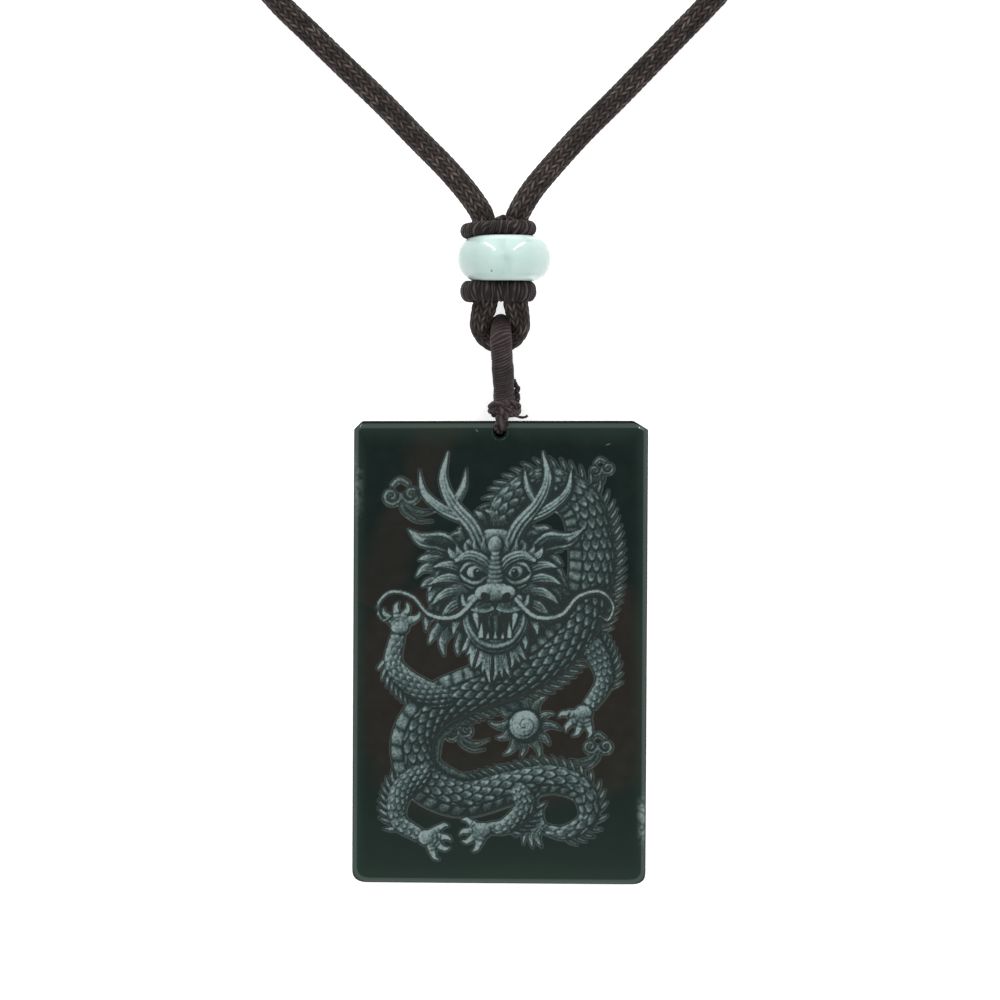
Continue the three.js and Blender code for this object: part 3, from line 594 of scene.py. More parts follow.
def wound_thread_material():
    """Tone = lift * (0.5 + 0.8 blotch) * (0.7 + 0.6 fibre), through a near-black ramp and a
    reddish one, which a wide noise mixes. Low lift is painted shade in the gaps between
    windings, high lift painted light on the crowns."""
    material, tree, shader = new_material("wound_nylon_thread",
                                          {"Roughness": 0.68, "Specular IOR Level": 0.2,
                                           "Sheen Weight": 0.06, "Sheen Roughness": 0.4})
    lift = node(tree, "Attribute", attribute_name="lift").outputs["Fac"]
    where = node(tree, "TexCoord").outputs["Object"]
    blotch = node(tree, "TexNoise", {"Vector": where, "Scale": THREAD_BLOTCHES, "Detail": 3.0})
    fibre = node(tree, "TexNoise", {"Vector": where, "Scale": THREAD_FUZZ, "Detail": 2.0})
    tone = node(tree, "Math.MULTIPLY", [lift, node(tree, "Math.MULTIPLY_ADD", [blotch, 0.8, 0.5])])
    tone = node(tree, "Math.MULTIPLY", [tone, node(tree, "Math.MULTIPLY_ADD", [fibre, 0.6, 0.7])])
    # Both ramps paint shade where lift is low, in the gaps, and light where it is high, on the
    # crowns.
    dark = node(tree, "ValToRGB", [tone],
                stops=[(0.0, "#040303"), (0.35, "#0f0c0c"), (0.7, "#231d1d"), (1.0, "#4a4241")])
    red = node(tree, "ValToRGB", [tone],
               stops=[(0.0, "#050303"), (0.35, "#150e0f"), (0.7, "#2b2021"), (1.0, "#4e4040")])
    patch = node(tree, "TexNoise", {"Vector": where, "Scale": THREAD_PATCHES, "Detail": 1.0})
    patch = node(tree, "Math.MULTIPLY_ADD", [patch, 3.0, -1.1], use_clamp=True)
    colour = node(tree, "Mix", {0: patch, 6: dark, 7: red}, data_type="RGBA")
    bump = node(tree, "Bump", {"Height": fibre, "Strength": 0.35, "Distance": 0.05 * MM})
    connect(tree, shader, {"Base Color": colour, "Normal": bump})
    return material


wound_nylon = wound_thread_material()

# %% [markdown]
# ## The two rings
# Each ring is a flat coil of thread round both legs of the cord: seen from above it is a
# bar with round ends. Its middle line is a stadium, two half circles and two straights.


# %% Rings above and below the bead
def stadium_line(width, depth, y, x, count=400):
    """A stadium in the XZ plane: half circles of radius depth / 2 joined by straights."""
    straight, radius = (width - depth) / 2, depth / 2
    angle = np.linspace(-math.pi / 2, math.pi / 2, count // 2)
    right = np.stack([x + straight + radius * np.cos(angle), AXIS_Z + radius * np.sin(angle)],
                     axis=1)
    left = np.stack([x - straight - radius * np.cos(angle), AXIS_Z - radius * np.sin(angle)],
                    axis=1)
    flat = np.vstack([right, left])
    return np.stack([flat[:, 0], np.full(len(flat), y), flat[:, 1]], axis=1)


RING_WIRE = 1.8
BEAD_TOUCH = 0.12


def wound_ring(name, solid, inner, outer, wander, droop, slant):
    """A ring as wide and deep as its solid, between two heights in y: the inner one touches
    the bead. Droop lowers its left end, squared from the middle outwards; slant leans its
    windings."""
    low, high = node_box(solid)
    width, depth, half = high[0] - low[0], high[2] - low[2], abs(outer - inner) / 2
    line = stadium_line(width - RING_WIRE, depth - RING_WIRE, (inner + outer) / 2,
                        (low[0] + high[0]) / 2)
    past = np.clip(((low[0] + high[0]) / 2 - line[:, 0]) / (width / 2), 0, 1)
    line[:, 1] -= droop * past**2
    thing = wound_tube(name, line, (0, 1, 0), always(RING_WIRE / 2 + 0.05),
                       lambda share: half * (1 - 0.07 * np.sin(7 * share + 1) ** 2), pitch=0.41,
                       starts=1, relief=0.2,
                       columns=40, step=0.07, closed=True, wander=wander, slant=slant, crisp=1.7)
    thing.data.materials.append(wound_nylon)
    return thing


lower_ring = wound_ring("lower_thread_ring", "lower_ring", bead_low[1] + BEAD_TOUCH, 45.3, 0.42,
                        0.0,
                        lambda share: -2.2 + 2.4 * np.sin(np.pi * share))
upper_ring = wound_ring("upper_thread_ring", "upper_ring", bead_high[1] - BEAD_TOUCH, 55.9, 0.48,
                        0.5,
                        lambda share: 1.6 - 2.8 * np.sin(np.pi * share))

# %% [markdown]
# ## The hanging loop
# The loop stands on edge, so from above it is one straight bar. Its line lies in the YZ
# plane: up one leg, round over the fold of the neck cord, and back along the ground.

# %% Hanging loop
loop_arc = np.linspace(-math.pi / 2, math.pi / 2, 9)
fold_bottom = FOLD_Y - FOLD_RADIUS
loop_points = np.vstack([
    [(0.58, 31.6, 1.9), (0.55, 33.4, 1.6), (0.45, 35.2, 1.5), (0.3, 37.6, 1.5)],
    np.stack([np.full(9, 0.12), fold_bottom + 2.47 * np.cos(loop_arc),
              4.33 + 2.79 * np.sin(loop_arc)], axis=1),
    [(0.3, 37.6, 6.6), (0.45, 35.2, 5.4), (0.55, 33.4, 4.6), (0.58, 31.6, 4.3)],
])
loop_line = smooth_line(loop_points, 1200)


def loop_width(share):
    """Half width across the bar: slimmer where it is squeezed through the fold, slightly uneven."""
    uneven = 0.03 * np.sin(41 * share) + 0.02 * np.sin(97 * share + 1)
    return 1.42 + uneven - 0.2 * np.exp(-(((share - 0.5) / 0.07) ** 2)) - 0.12 * smooth_step(share,
                                                                                             0.8, 1)


hanging_loop = wound_tube("hanging_loop_wound", loop_line, (1, 0, 0), always(1.26), loop_width,
                          pitch=0.36, starts=7, relief=0.1,
                          columns=48, wander=0.09)
hanging_loop.data.materials.append(wound_nylon)

# %% [markdown]
# ## The binding above the tablet
# Thread is wound round both legs of the loop and crossed over itself, so it reads as a
# small lumpy knot. It is one long line: turns round the legs, then two crossings on top.

# %% Binding
BINDING = np.array([0.58, 31.55, 3.1])
THREAD_TWIST = 0.9


def binding_line():
    """Five uneven turns with radii of about 1.5 and 2.05 mm that climb 1.5 mm in y, a short
    bridge, then three crossing turns: x = 1.82 cos u, z = 2.35 sin u, while y sways."""
    t = np.linspace(0, 5 * 2 * np.pi, 400)
    wander = 0.2 * np.sin(1.7 * t) + 0.14 * np.sin(0.9 * t + 1)
    turns = np.stack([(1.5 + 0.5 * wander) * np.cos(t), -0.75 + 1.5 * t / t[-1] + wander * 0.6,
                      (2.05 + wander) * np.sin(t)], axis=1)
    u = np.linspace(0, 3.25 * 2 * np.pi, 300)
    cross = np.stack([1.82 * np.cos(u), 0.62 * np.sin(u / 2 + 0.4) + 0.28 * np.sin(u * 1.5),
                      2.35 * np.sin(u)], axis=1)
    bridge = turns[-1] + (cross[0] - turns[-1]) * np.linspace(0, 1, 12)[1:-1, None]
    return BINDING + np.vstack([turns, bridge, cross])


def thread(name, line, diameter):
    """One twisted thread of two strands: half width r * (1 - 0.24 * (1 - ridge))."""
    return wound_tube(name, line, (0.05, 1, 0.02), always(diameter / 2), always(diameter / 2),
                      pitch=THREAD_TWIST, starts=2, relief=0.12 * diameter, columns=12, step=1 / 9,
                      crisp=1.4)


binding = thread("binding_thread", binding_line(), 0.8)
stub_points = smooth_line([(1.7, 31.9, 4.0), (2.2, 32.5, 4.3), (2.3, 33.2, 4.2), (2.0, 33.7, 4.4),
                           (2.35, 34.1, 4.2),
                           (2.0, 34.6, 4.1), (1.75, 35.3, 4.3)], 80)
binding_stub = thread("binding_stub", stub_points, 0.72)
tail_points = smooth_line([(1.2, 31.1, 5.0), (1.7, 30.75, 5.2), (2.3, 30.5, 5.3), (2.9, 30.4, 5.3),
                           (3.3, 30.45, 5.4),
                           (3.55, 30.65, 5.5)], 60)
binding_tail = thread("binding_tail", tail_points, 0.36)
ring_end_points = smooth_line([(-1.0, 55.4, 7.6), (-0.4, 55.85, 8.0), (0.1, 56.1, 8.1),
                               (0.45, 56.2, 8.0), (0.8, 55.95, 7.9),
                               (1.3, 55.9, 8.0), (1.85, 55.5, 7.8)], 60)
ring_end = thread("upper_ring_thread_end", ring_end_points, 0.75)

# %% [markdown]
# ## The tablet's thread
# A doubled thread goes from the binding over the top edge, down through the hole and
# back along a groove in the tablet's back. The two strands twist round one another.

# %% Tablet thread
HOLE_Y = 28.5
thread_route = smooth_line([
    (0.35, 31.2, 4.9), (0.3, 30.5, 5.8), (0.2, 29.95, 6.35), (0.1, 29.35, 6.45), (0, 29.0, 6.1),
                            (0, 28.8, 5.4),
    (0, 28.62, 4.4), (0, HOLE_Y, 3.2), (0, HOLE_Y, 1.2), (0, 28.75, 0.62), (0, 29.4, 0.5),
                            (0.1, 30.1, 0.5), (0.2, 30.6, 0.6),
    (0.3, 31.0, 1.5)], 240)


def twisted_pair(name, line, offset, diameter, twist):
    """Two strands half a turn apart: line + offset * (side cos a + cap sin a), a = 2 pi s / twist.
    They are loose over the edge, slim at the hole's mouth, fill its depth and thin out in
    the groove."""
    s = distance_along(line)
    angle = 2 * np.pi * s / twist + 1.4
    fit = np.interp(s, (0.9, 1.8, 2.9, 3.6, 5, 6, 8, 8.8),
                    (1, 1.35, 1.3, 0.85, 0.8, 0.97, 0.97, 0.6))
    _, side, cap = frames(line, (1, 0, 0))
    away = (fit * offset)[:, None] * (side * np.cos(angle)[:, None] + cap * np.sin(angle)[:, None])
    size = lambda share: np.interp(share, s / s[-1], fit) * diameter / 2
    return [wound_tube(name + "_" + part, line + sign * away, (0.05, 1, 0.02), size, size,
                       pitch=THREAD_TWIST, starts=2,
                       relief=0.1 * diameter, columns=16, step=0.11) for part,
            sign in (("first", 1), ("second", -1))]


tablet_thread = twisted_pair("tablet_thread", thread_route, 0.34, 0.72, 2.9)

# %% [markdown]
# ## Tie and join
# A tie of nearly five turns keeps the coil together, and a wrapped join closes the neck cord.
# Neither is in the picture, but a stored cord of this kind has both.

# %% Coil tie and join
def tie_line():
    """A rounded rectangle round the coil's section, wound 4.6 times: it follows the
    superellipse |y/a|^5 + |z/b|^5 = 1 while x goes 2 mm across the coil."""
    t = np.linspace(0, 4.6 * 2 * np.pi, 900)
    a, b = (OUTER_TURN - INNER_TURN + CORD_DIAMETER) / 2 + 0.34, 3.45
    c, s = np.cos(t), np.sin(t)
    r = (np.abs(c) ** 5 + np.abs(s) ** 5) ** (-1 / 5)
    y = COIL_Y - (OUTER_TURN + INNER_TURN) / 2 + a * r * c
    return np.stack([-1.0 + 2.0 * t / t[-1], y, b + 0.33 + b * r * s], axis=1)


coil_tie = wound_tube("coil_tie_thread", tie_line(), (1, 0, 0.03), always(0.3), always(0.3),
                      pitch=THREAD_TWIST, starts=2, relief=0.06, columns=12)
join_from, join_to = np.array([29.3, 87.0, 2.25]), np.array([33.1, 95.2, 2.25])
join_line = join_from + (join_to - join_from) * np.linspace(0, 1, 40)[:, None]


def join_radius(share):
    """A sleeve that rolls in at both ends: 1.6 + 0.65 * (1 - |2 share - 1|^8)."""
    return 1.6 + 0.65 * (1 - np.abs(2 * share - 1) ** 8)


join_wrap = wound_tube("join_wrap", join_line, (0, 0, 1), join_radius, join_radius, pitch=0.46,
                       starts=1, relief=0.12, columns=40)

for piece in (binding, binding_stub, binding_tail, ring_end, *tablet_thread, coil_tie, join_wrap):
    piece.data.materials.append(wound_nylon)

# %% [markdown]
# ## The bead
# A flattened ball of pale jade, turned about its bore. Its profile is half an ellipse set
# out from the axis, so both faces are nearly flat and the girth is round.

# %% Bead
BEAD_CENTRE = (bead_low + bead_high) / 2
BEAD_RADIUS, BEAD_HALF = (bead_high[0] - bead_low[0]) / 2 + 0.03, (bead_high[1] - bead_low[1]) / 2
BEAD_BORE, BEAD_FLAT = 3.25, 3.5


def bead_mesh(around=160):
    """r = flat + (R - flat) * cos t, y = half * sin t from mouth to mouth, then the bore."""
    t = np.linspace(-np.pi / 2, np.pi / 2, 61)
    r = BEAD_FLAT + (BEAD_RADIUS - BEAD_FLAT) * np.cos(t)
    y = BEAD_HALF * np.sin(t)
    bore_r = np.array([BEAD_BORE + 0.12, BEAD_BORE, BEAD_BORE, BEAD_BORE, BEAD_BORE + 0.12])
    bore_y = np.array([BEAD_HALF - 0.02, BEAD_HALF - 0.16, 0, 0.16 - BEAD_HALF, 0.02 - BEAD_HALF])
    profile = np.stack([np.append(r, bore_r), np.append(y, bore_y)], axis=1)
    turn = np.linspace(0, 2 * np.pi, around, endpoint=False)
    x = profile[:, 0][:, None] * np.cos(turn)
    z = profile[:, 0][:, None] * np.sin(turn)
    y = np.repeat(profile[:, 1][:, None], around, axis=1)
    points = BEAD_CENTRE + np.stack([x, y, z], axis=2).reshape(-1, 3)
    quads, _ = grid_faces(len(profile), around, True, True)
    return make_mesh("pale_jade_bead", points, [quads])


bead = bead_mesh()


# %% [markdown]
# ## Pale jade
# The bead is a milky, faintly green jade with a high polish: light goes in a little way
# and comes out soft. It has clouds and one dark speck. Over them light and shade are painted:
# a darker, greener streak down the middle, painted shade of the cord inside, broken up by
# vein noise; darker ends, painted shade; and a paler right half and pale rims at both ends of
# the bore, painted light.


# %% Pale jade material
# Clouds 5 mm wide, and veins 1 mm wide that are drawn out eight times as long across the bead.
JADE_CLOUDS, JADE_VEINS, VEIN_STRETCH = 210.0, 900.0, (1.0, 0.12, 1.0)


def near(tree, value, middle, reach):
    """1 where a value equals the middle, falling smoothly to 0 at this reach from it."""
    off = node(tree, "Math.ABSOLUTE", [node(tree, "Math.SUBTRACT", [value, middle])])
    return node(tree, "MapRange", {"Value": off, "From Min": 0.0, "From Max": reach, "To Min": 1.0,
                                   "To Max": 0.0}, interpolation_type="SMOOTHSTEP")


def pale_jade_material():
    """Clouds by a noise ramp, then over it in turn: a darker streak at the middle of x, painted
    shade of the cord inside; darker ends, painted shade; a paler right half and pale rims at both
    ends of y, painted light; and the speck."""
    material, tree, shader = new_material("polished_pale_jade",
                                          {"Roughness": 0.12, "IOR": 1.6, "Subsurface Weight": 0.6,
                                           "Subsurface Radius": (1.0, 1.0, 1.0),
                                           "Subsurface Scale": 0.9 * MM})
    where = node(tree, "TexCoord").outputs["Object"]
    place = node(tree, "SeparateXYZ", [where])
    x, y = place.outputs[0], place.outputs[1]
    middle_x, middle_y = float(BEAD_CENTRE[0]) * MM, float(BEAD_CENTRE[1]) * MM
    cloud = node(tree, "TexNoise", {"Vector": where, "Scale": JADE_CLOUDS, "Detail": 4.0,
                                    "Distortion": 0.8})
    drawn_out = node(tree, "Mapping", {0: where, 3: VEIN_STRETCH})
    veins = node(tree, "TexNoise", {"Vector": drawn_out, "Scale": JADE_VEINS, "Detail": 3.0})
    colour = node(tree, "ValToRGB", [cloud],
                  stops=[(0.3, "#a5bdb8"), (0.5, "#aec4bf"), (0.7, "#b7ccc6")])
    # Painted shade: a darker, greener streak down the middle for the cord inside, broken up by vein
    # noise.
    middle = near(tree, x, middle_x, 1.6 * MM)
    veined_cord_shade = node(tree, "Math.MULTIPLY",
                [middle, node(tree, "Math.MULTIPLY_ADD", [veins, 3.0, -1.3], use_clamp=True)])
    colour = node(tree, "Mix", {0: node(tree, "Math.MULTIPLY", [veined_cord_shade, 0.5]), 6: colour,
                                7: "#8ea9a1"}, data_type="RGBA")
    # Painted shade: the colour darkens towards both ends.
    off = node(tree, "Math.ABSOLUTE", [node(tree, "Math.SUBTRACT", [x, middle_x])])
    end = node(tree, "MapRange", {"Value": off, "From Min": 1.5 * MM, "From Max": 5.9 * MM})
    colour = node(tree, "Mix", {0: end, 6: colour, 7: "#8fa29d"}, data_type="RGBA")
    # Painted light: the right half is made paler.
    right = node(tree, "MapRange", {"Value": x, "From Min": 1.5 * MM, "From Max": 4.5 * MM})
    colour = node(tree, "Mix", {0: node(tree, "Math.MULTIPLY", [right, 0.25]), 6: colour,
                                7: "#c5d8d3"}, data_type="RGBA")
    # Painted light: pale rims at both ends of y.
    off = node(tree, "Math.ABSOLUTE", [node(tree, "Math.SUBTRACT", [y, middle_y])])
    rim = node(tree, "MapRange", {"Value": off, "From Min": 2.2 * MM, "From Max": 2.85 * MM})
    colour = node(tree, "Mix", {0: node(tree, "Math.MULTIPLY", [rim, 0.55]), 6: colour,
                                7: "#dcebe6"}, data_type="RGBA")
    speck = node(tree, "Math.MULTIPLY",
                 [near(tree, x, -1.07 * MM, 0.2 * MM), near(tree, y, 49.15 * MM, 0.2 * MM)])
    colour = node(tree, "Mix", {0: speck, 6: colour, 7: "#3f5c55"}, data_type="RGBA")
    connect(tree, shader, {"Base Color": colour})
    return material


bead.data.materials.append(pale_jade_material())

# %% [markdown]
# ## The picture's drawing board
# The tablet carries a traditional picture: a dragon with a flaming pearl among clouds.
# It is drawn the way a carver models it, from the back to the front. Each stroke is a
# small rounded surface laid on a board of heights, and the highest surface shows.

# %% Drawing board
CELL = 0.05
FIELD_X, FIELD_Y = 17.6, 28.5
BOARD_SHAPE = (int(2 * FIELD_Y / CELL) + 1, int(2 * FIELD_X / CELL) + 1)
BARE = -9.0
board = {"height": np.full(BOARD_SHAPE, BARE), "tint": np.zeros(BOARD_SHAPE)}


def press(x, y, height, tint):
    """Lays sampled points on the board; in every cell the highest surface wins."""
    column = np.round((x + FIELD_X) / CELL).astype(int)
    row = np.round((y + FIELD_Y) / CELL).astype(int)
    inside = (column >= 0) & (column < BOARD_SHAPE[1]) & (row >= 0) & (row < BOARD_SHAPE[0])
    height = np.broadcast_to(height, x.shape)[inside]
    tint = np.broadcast_to(tint, x.shape)[inside]
    cell = row[inside] * BOARD_SHAPE[1] + column[inside]
    order = np.argsort(height, kind="stable")
    heights, tints = board["height"].ravel(), board["tint"].ravel()
    layer, tone = np.full_like(heights, BARE), np.zeros_like(tints)
    layer[cell[order]], tone[cell[order]] = height[order], tint[order]
    higher = layer > heights
    heights[higher], tints[higher] = layer[higher], tone[higher]


# %% [markdown]
# ## Strokes and skins
# Two strokes make the whole picture. A ribbon follows a line with a changing width: a
# body, a lock, a claw. A dome is an oval mound: an eye, a cheek, the pearl. A skin adds
# fine relief to a stroke: scales and belly plates, hair, or folds across.


# %% Ribbons and domes
def flat_line(points, count):
    """A smooth line in the picture's plane."""
    p = np.asarray(points, float)
    return smooth_line(np.column_stack([p, np.zeros(len(p))]), count)[:, :2]


def line_frame(path):
    """Step length, tangent and left normal along a flat line."""
    step = np.gradient(path, axis=0)
    size = np.maximum(np.hypot(step[:, 0], step[:, 1]), 1e-9)[:, None]
    tangent = step / size
    return size[:, 0], tangent, np.stack([-tangent[:, 1], tangent[:, 0]], axis=1)


def ribbon(points, widths, base, crown, tint=1.0, skin=None, cap=0.0):
    """Place = line + normal * w v, height = base + crown * w * sqrt(1 - v^2) + skin(s, v, w),
    for v from -1 to 1; with a cap the start is rounded like a shoulder."""
    length = distance_along(flat_line(points, 50))[-1]
    path = flat_line(points, max(int(length / (0.6 * CELL)), 8))
    u = np.linspace(0, 1, len(path))
    size, _, normal = line_frame(path)
    w = np.interp(u, np.linspace(0, 1, len(widths)), widths)
    if cap:
        w = w * np.sqrt(1 - np.clip(1 - np.cumsum(size) / cap, 0, 1) ** 2)
    v = np.linspace(-1, 1, max(int(2.3 * w.max() / (0.6 * CELL)), 5))
    x = path[:, :1] + normal[:, :1] * w[:, None] * v
    y = path[:, 1:] + normal[:, 1:] * w[:, None] * v
    height = base + crown * w[:, None] * np.sqrt(np.clip(1 - v**2, 0, 1))
    if skin is not None:
        relief, shade = skin(np.cumsum(size)[:, None], v[None], w[:, None])
        height, tint = height + relief, tint * shade
    press(x, y, height, tint * (1 - 0.5 * v**8))


def dome(centre, radii, base, rise, tint=1.0, turn=0.0, skin=None):
    """Height = base + rise * sqrt(1 - a^2 - b^2) over a turned ellipse with radii (ra, rb)."""
    g = np.linspace(-1, 1, max(int(2 * max(radii) / (0.6 * CELL)), 7))
    a, b = (grid.ravel() for grid in np.meshgrid(g, g))
    a, b = a[a**2 + b**2 <= 1], b[a**2 + b**2 <= 1]
    c, s = math.cos(turn), math.sin(turn)
    x = centre[0] + radii[0] * a * c - radii[1] * b * s
    y = centre[1] + radii[0] * a * s + radii[1] * b * c
    height = base + rise * np.sqrt(1 - a**2 - b**2)
    if skin is not None:
        relief, shade = skin(a, b)
        height, tint = height + relief, tint * shade
    press(x, y, height, tint)


# %% [markdown]
# ## Skins: scales, hair and folds
# A dragon is scaly on its back and plated below, and its mane is combed. Drawing each
# scale as a stroke would take thousands, so a skin works the relief out from the place
# along and across a stroke, and gives back a height and a tone.


# %% Skins
def scale_rows(s, t):
    """Overlapping scales, rows 1 apart in s and 1 wide in t, each second row shifted by half.
    A scale is the front half of an ellipse that reaches 1.3 rows on; the row behind lies on top.
    Returns its height, and its tone: dark at the root, a bright line inside the free edge."""
    def row(number):
        """Distance ahead of a row, distance beside its nearest scale, and the ellipse's radius."""
        shift = 0.5 * np.mod(number, 2)
        ahead, beside = s - number, t - shift - np.round(t - shift)
        return ahead, beside, np.hypot(np.maximum(ahead, 0) / 1.3, beside / 0.56)

    behind, here, before = row(np.floor(s) - 1), row(np.floor(s)), row(np.floor(s) + 1)
    ahead, beside, edge = (np.where(behind[2] < 1, a, np.where(here[2] < 1, b, c))
                           for a, b, c in zip(behind, here, before))
    inward = np.clip(1 - edge, 0, 1)
    rim = np.clip(inward / 0.24, 0, 1)
    rounded = 0.37 + 0.3 * ahead + 0.3 * (1 - (beside / 0.56) ** 2)
    tone = 0.42 + 0.12 * np.clip(ahead, 0, 1) + 0.5 * np.exp(-(((inward - 0.33) / 0.13) ** 2))
    keel = np.exp(-((beside / 0.07) ** 2)) * np.clip(ahead, 0, 1)
    return rounded * (0.25 + 0.75 * rim) + 0.12 * keel, rim * (tone + 0.15 * keel)


def scaly(size, belly_edge=9.0):
    """Scales of this size over the round back; past the belly edge in -v, plates across."""
    def skin(s, v, w):
        scale, tone = scale_rows(s / size, 1.15 * w / size * np.arcsin(np.clip(v, -1, 1)))
        belly = np.clip(12 * (-v - belly_edge), 0, 1)
        plate = np.abs(np.sin(np.pi * s / (1.15 * size) - 0.9 * v)) ** 0.6
        groove = np.exp(-(((v + belly_edge) / 0.05) ** 2))
        relief = 0.42 * scale * (1 - belly) + 0.32 * plate * belly
        relief = 0.5 * np.minimum(w, 2) * relief - 0.25 * groove
        shade = (0.25 + tone) * (1 - belly) + (0.35 + 0.65 * plate) * belly
        return relief, shade * (1 - 0.5 * groove)
    return skin


def hairy(strands):
    """Strands along the stroke: ridge = |cos(pi n v / 2)|, 0.22 w deep."""
    def skin(s, v, w):
        ridge = np.abs(np.cos(0.5 * np.pi * strands * v)) + 0 * s
        return 0.22 * w * (ridge - 1), 0.3 + 0.7 * ridge
    return skin


def folded(pitch, bow=0.35, depth=0.16):
    """Folds across the stroke, bowed at the middle: |sin(pi (s / pitch + bow v^2))| ^ 0.7."""
    def skin(s, v, w):
        fold = np.abs(np.sin(np.pi * (s / pitch + bow * v**2))) ** 0.7
        return depth * (fold - 1), 0.35 + 0.65 * fold
    return skin


def flame(root, heading, length, width, base, tint=0.9, bend=0.3):
    """A lock that leaves its root along a heading, bows to one side and ends in a point."""
    d = np.array([math.cos(heading), math.sin(heading)])
    n = np.array([-d[1], d[0]])
    line = [root, root + length * (0.35 * d + 0.5 * bend * n),
            root + length * (0.7 * d + 0.35 * bend * n),
            root + length * (d - 0.25 * bend * n)]
    ribbon(line, [0.75 * width, width, 0.6 * width, 0.04], base, 0.6, tint, hairy(3))


# %% [markdown]
# ## Clouds, body and legs
# Small curled clouds fill the corners. The body swings in one long S from behind the
# head, over the right, across the middle and along the foot, and ends in a plume.
# A crest of leaning spikes runs along its back and its belly has plates.


# %% Clouds
def curl(centre, size, start, hand):
    """A spiral of 1.35 turns whose radius shrinks from 1 to 0.18 of its size."""
    share = np.linspace(0, 1, 26)
    angle, radius = start + hand * 2.7 * np.pi * share, size * (1 - 0.82 * share)
    line = np.stack([radius * np.cos(angle), radius * np.sin(angle)], axis=1) + centre
    ribbon(line, [0.2 * size, 0.21 * size, 0.2 * size, 0.17 * size], -0.6, 0.6, 0.8)


def cloud(x, y, size, lean, hand):
    """Two curls under an arch, with two trailing wisps, turned by lean and mirrored by hand."""
    c, s = math.cos(lean), math.sin(lean)
    spot = lambda *points: [(x + size * (hand * px * c - py * s),
                             y + size * (hand * px * s + py * c))
                            for px, py in points]
    for side in (-1, 1):
        start = lean + (0.2 if side * hand < 0 else math.pi - 0.2)
        curl(spot((0.75 * side, 0.1))[0], 0.72 * size, start, side * hand)
    ribbon(spot((-0.7, 0.85), (0, 1.3), (0.7, 0.85)), [0.15 * size, 0.2 * size, 0.15 * size], -0.6,
           0.6, 0.8)
    ribbon(spot((0.1, -0.1), (0.5, -0.9), (1.5, -1.35), (2.8, -1.2)),
           [0.15 * size, 0.22 * size, 0.18 * size, 0.04],
           -0.7, 0.6, 0.8, hairy(3))
    ribbon(spot((-0.1, -0.1), (0.1, -1.1), (1, -1.9), (2.2, -2.1)),
           [0.12 * size, 0.18 * size, 0.14 * size, 0.04],
           -0.7, 0.6, 0.8, hairy(3))


for place in ((-13.4, 21.6, 1.8, 0.1, 1), (-5.6, -10.6, 1.4, 0.2, 1), (13.4, -12.6, 1.4, 0, -1),
              (13.9, 25.2, 1.2, 0.2, -1)):
    cloud(*place)


# %% [markdown]
# ## Body and legs
# The body is one ribbon with a long list of widths, so it swells and thins like a
# snake. Each leg is a shorter ribbon with spikes, and a foot is a dome with four toes.
# What lies nearer to the viewer gets a higher base, and so covers what is behind it.


# %% Body and legs
BODY = [(-1, 15), (1.6, 20.4), (6.2, 22.9), (10.8, 20.6), (12.4, 15.2), (12.3, 9.4), (10, 3.6),
        (4.6, -1.4),
        (-2.6, -4.2), (-8.8, -7), (-11.9, -11.6), (-10.7, -17), (-5.2, -19.6), (1.2, -18.2),
        (6.8, -16.9),
        (11.2, -18.5), (12, -22.2), (8.8, -24.2), (5.4, -23.4)]
BODY_WIDTHS = [2.3, 2.5, 2.7, 2.9, 3.1, 3.2, 3.2, 3.2, 3.15, 3, 2.9, 2.7, 2.5, 2.3, 2, 1.65, 1.3,
               0.95, 0.55]


def crest(points, widths, side, spacing, length, base, first, last):
    """Spikes along one side of a line, leaning back, shorter where the line is thinner."""
    path = flat_line(points, 600)
    size, tangent, normal = line_frame(path)
    s = np.cumsum(size)
    wide = np.interp(np.linspace(0, 1, 600), np.linspace(0, 1, len(widths)), widths)
    for k in np.searchsorted(s, np.arange(first * s[-1], last * s[-1], spacing)):
        n, t = side * normal[k], tangent[k]
        root, reach = path[k] + 0.92 * wide[k] * n, length * (0.55 + 0.45 * wide[k] / wide.max())
        line = [root - 0.5 * n, root, root + reach * (0.5 * n - 0.33 * t),
                root + reach * (n - 0.9 * t)]
        ribbon(line, [0.32, 0.36, 0.25, 0.04], base, 0.7, 0.85, hairy(2))


def leg(points, widths, base, side):
    """A scaled limb with spikes on its outer side, rounded where it leaves the body."""
    crest(points, widths, side, 0.7, 1.5, base - 0.2, 0.2, 0.75)
    ribbon(points, widths, base, 0.65, 0.9, scaly(0.95), cap=1.3 * widths[0])


def foot(palm, heading, reach, base):
    """A palm with four ringed toes fanned over two radians, each with a curved claw."""
    palm = np.array(palm, float)
    dome(palm, (1.25, 1.1), base + 0.1, 0.9, 0.9)
    for k in range(4):
        share = k / 3 - 0.5
        side = 1 if share > 0 else -1
        d = np.array([math.cos(heading + 2 * share), math.sin(heading + 2 * share)])
        n = np.array([-d[1], d[0]])
        bow = (0.15 - 0.35 * share) * reach * n
        tip = palm + reach * d + 0.2 * bow
        ribbon([palm + 0.3 * d, palm + 0.55 * reach * d + 0.4 * bow, tip], [0.62, 0.7, 0.5],
               base + 0.2, 0.8, 0.92,
               folded(0.55, 0, 0.1))
        ribbon([tip - 0.1 * d, tip + 0.75 * d - 0.12 * side * n, tip + 1.25 * d - 0.7 * side * n],
               [0.42, 0.3, 0.03], base + 0.45, 0.9, 1.15)


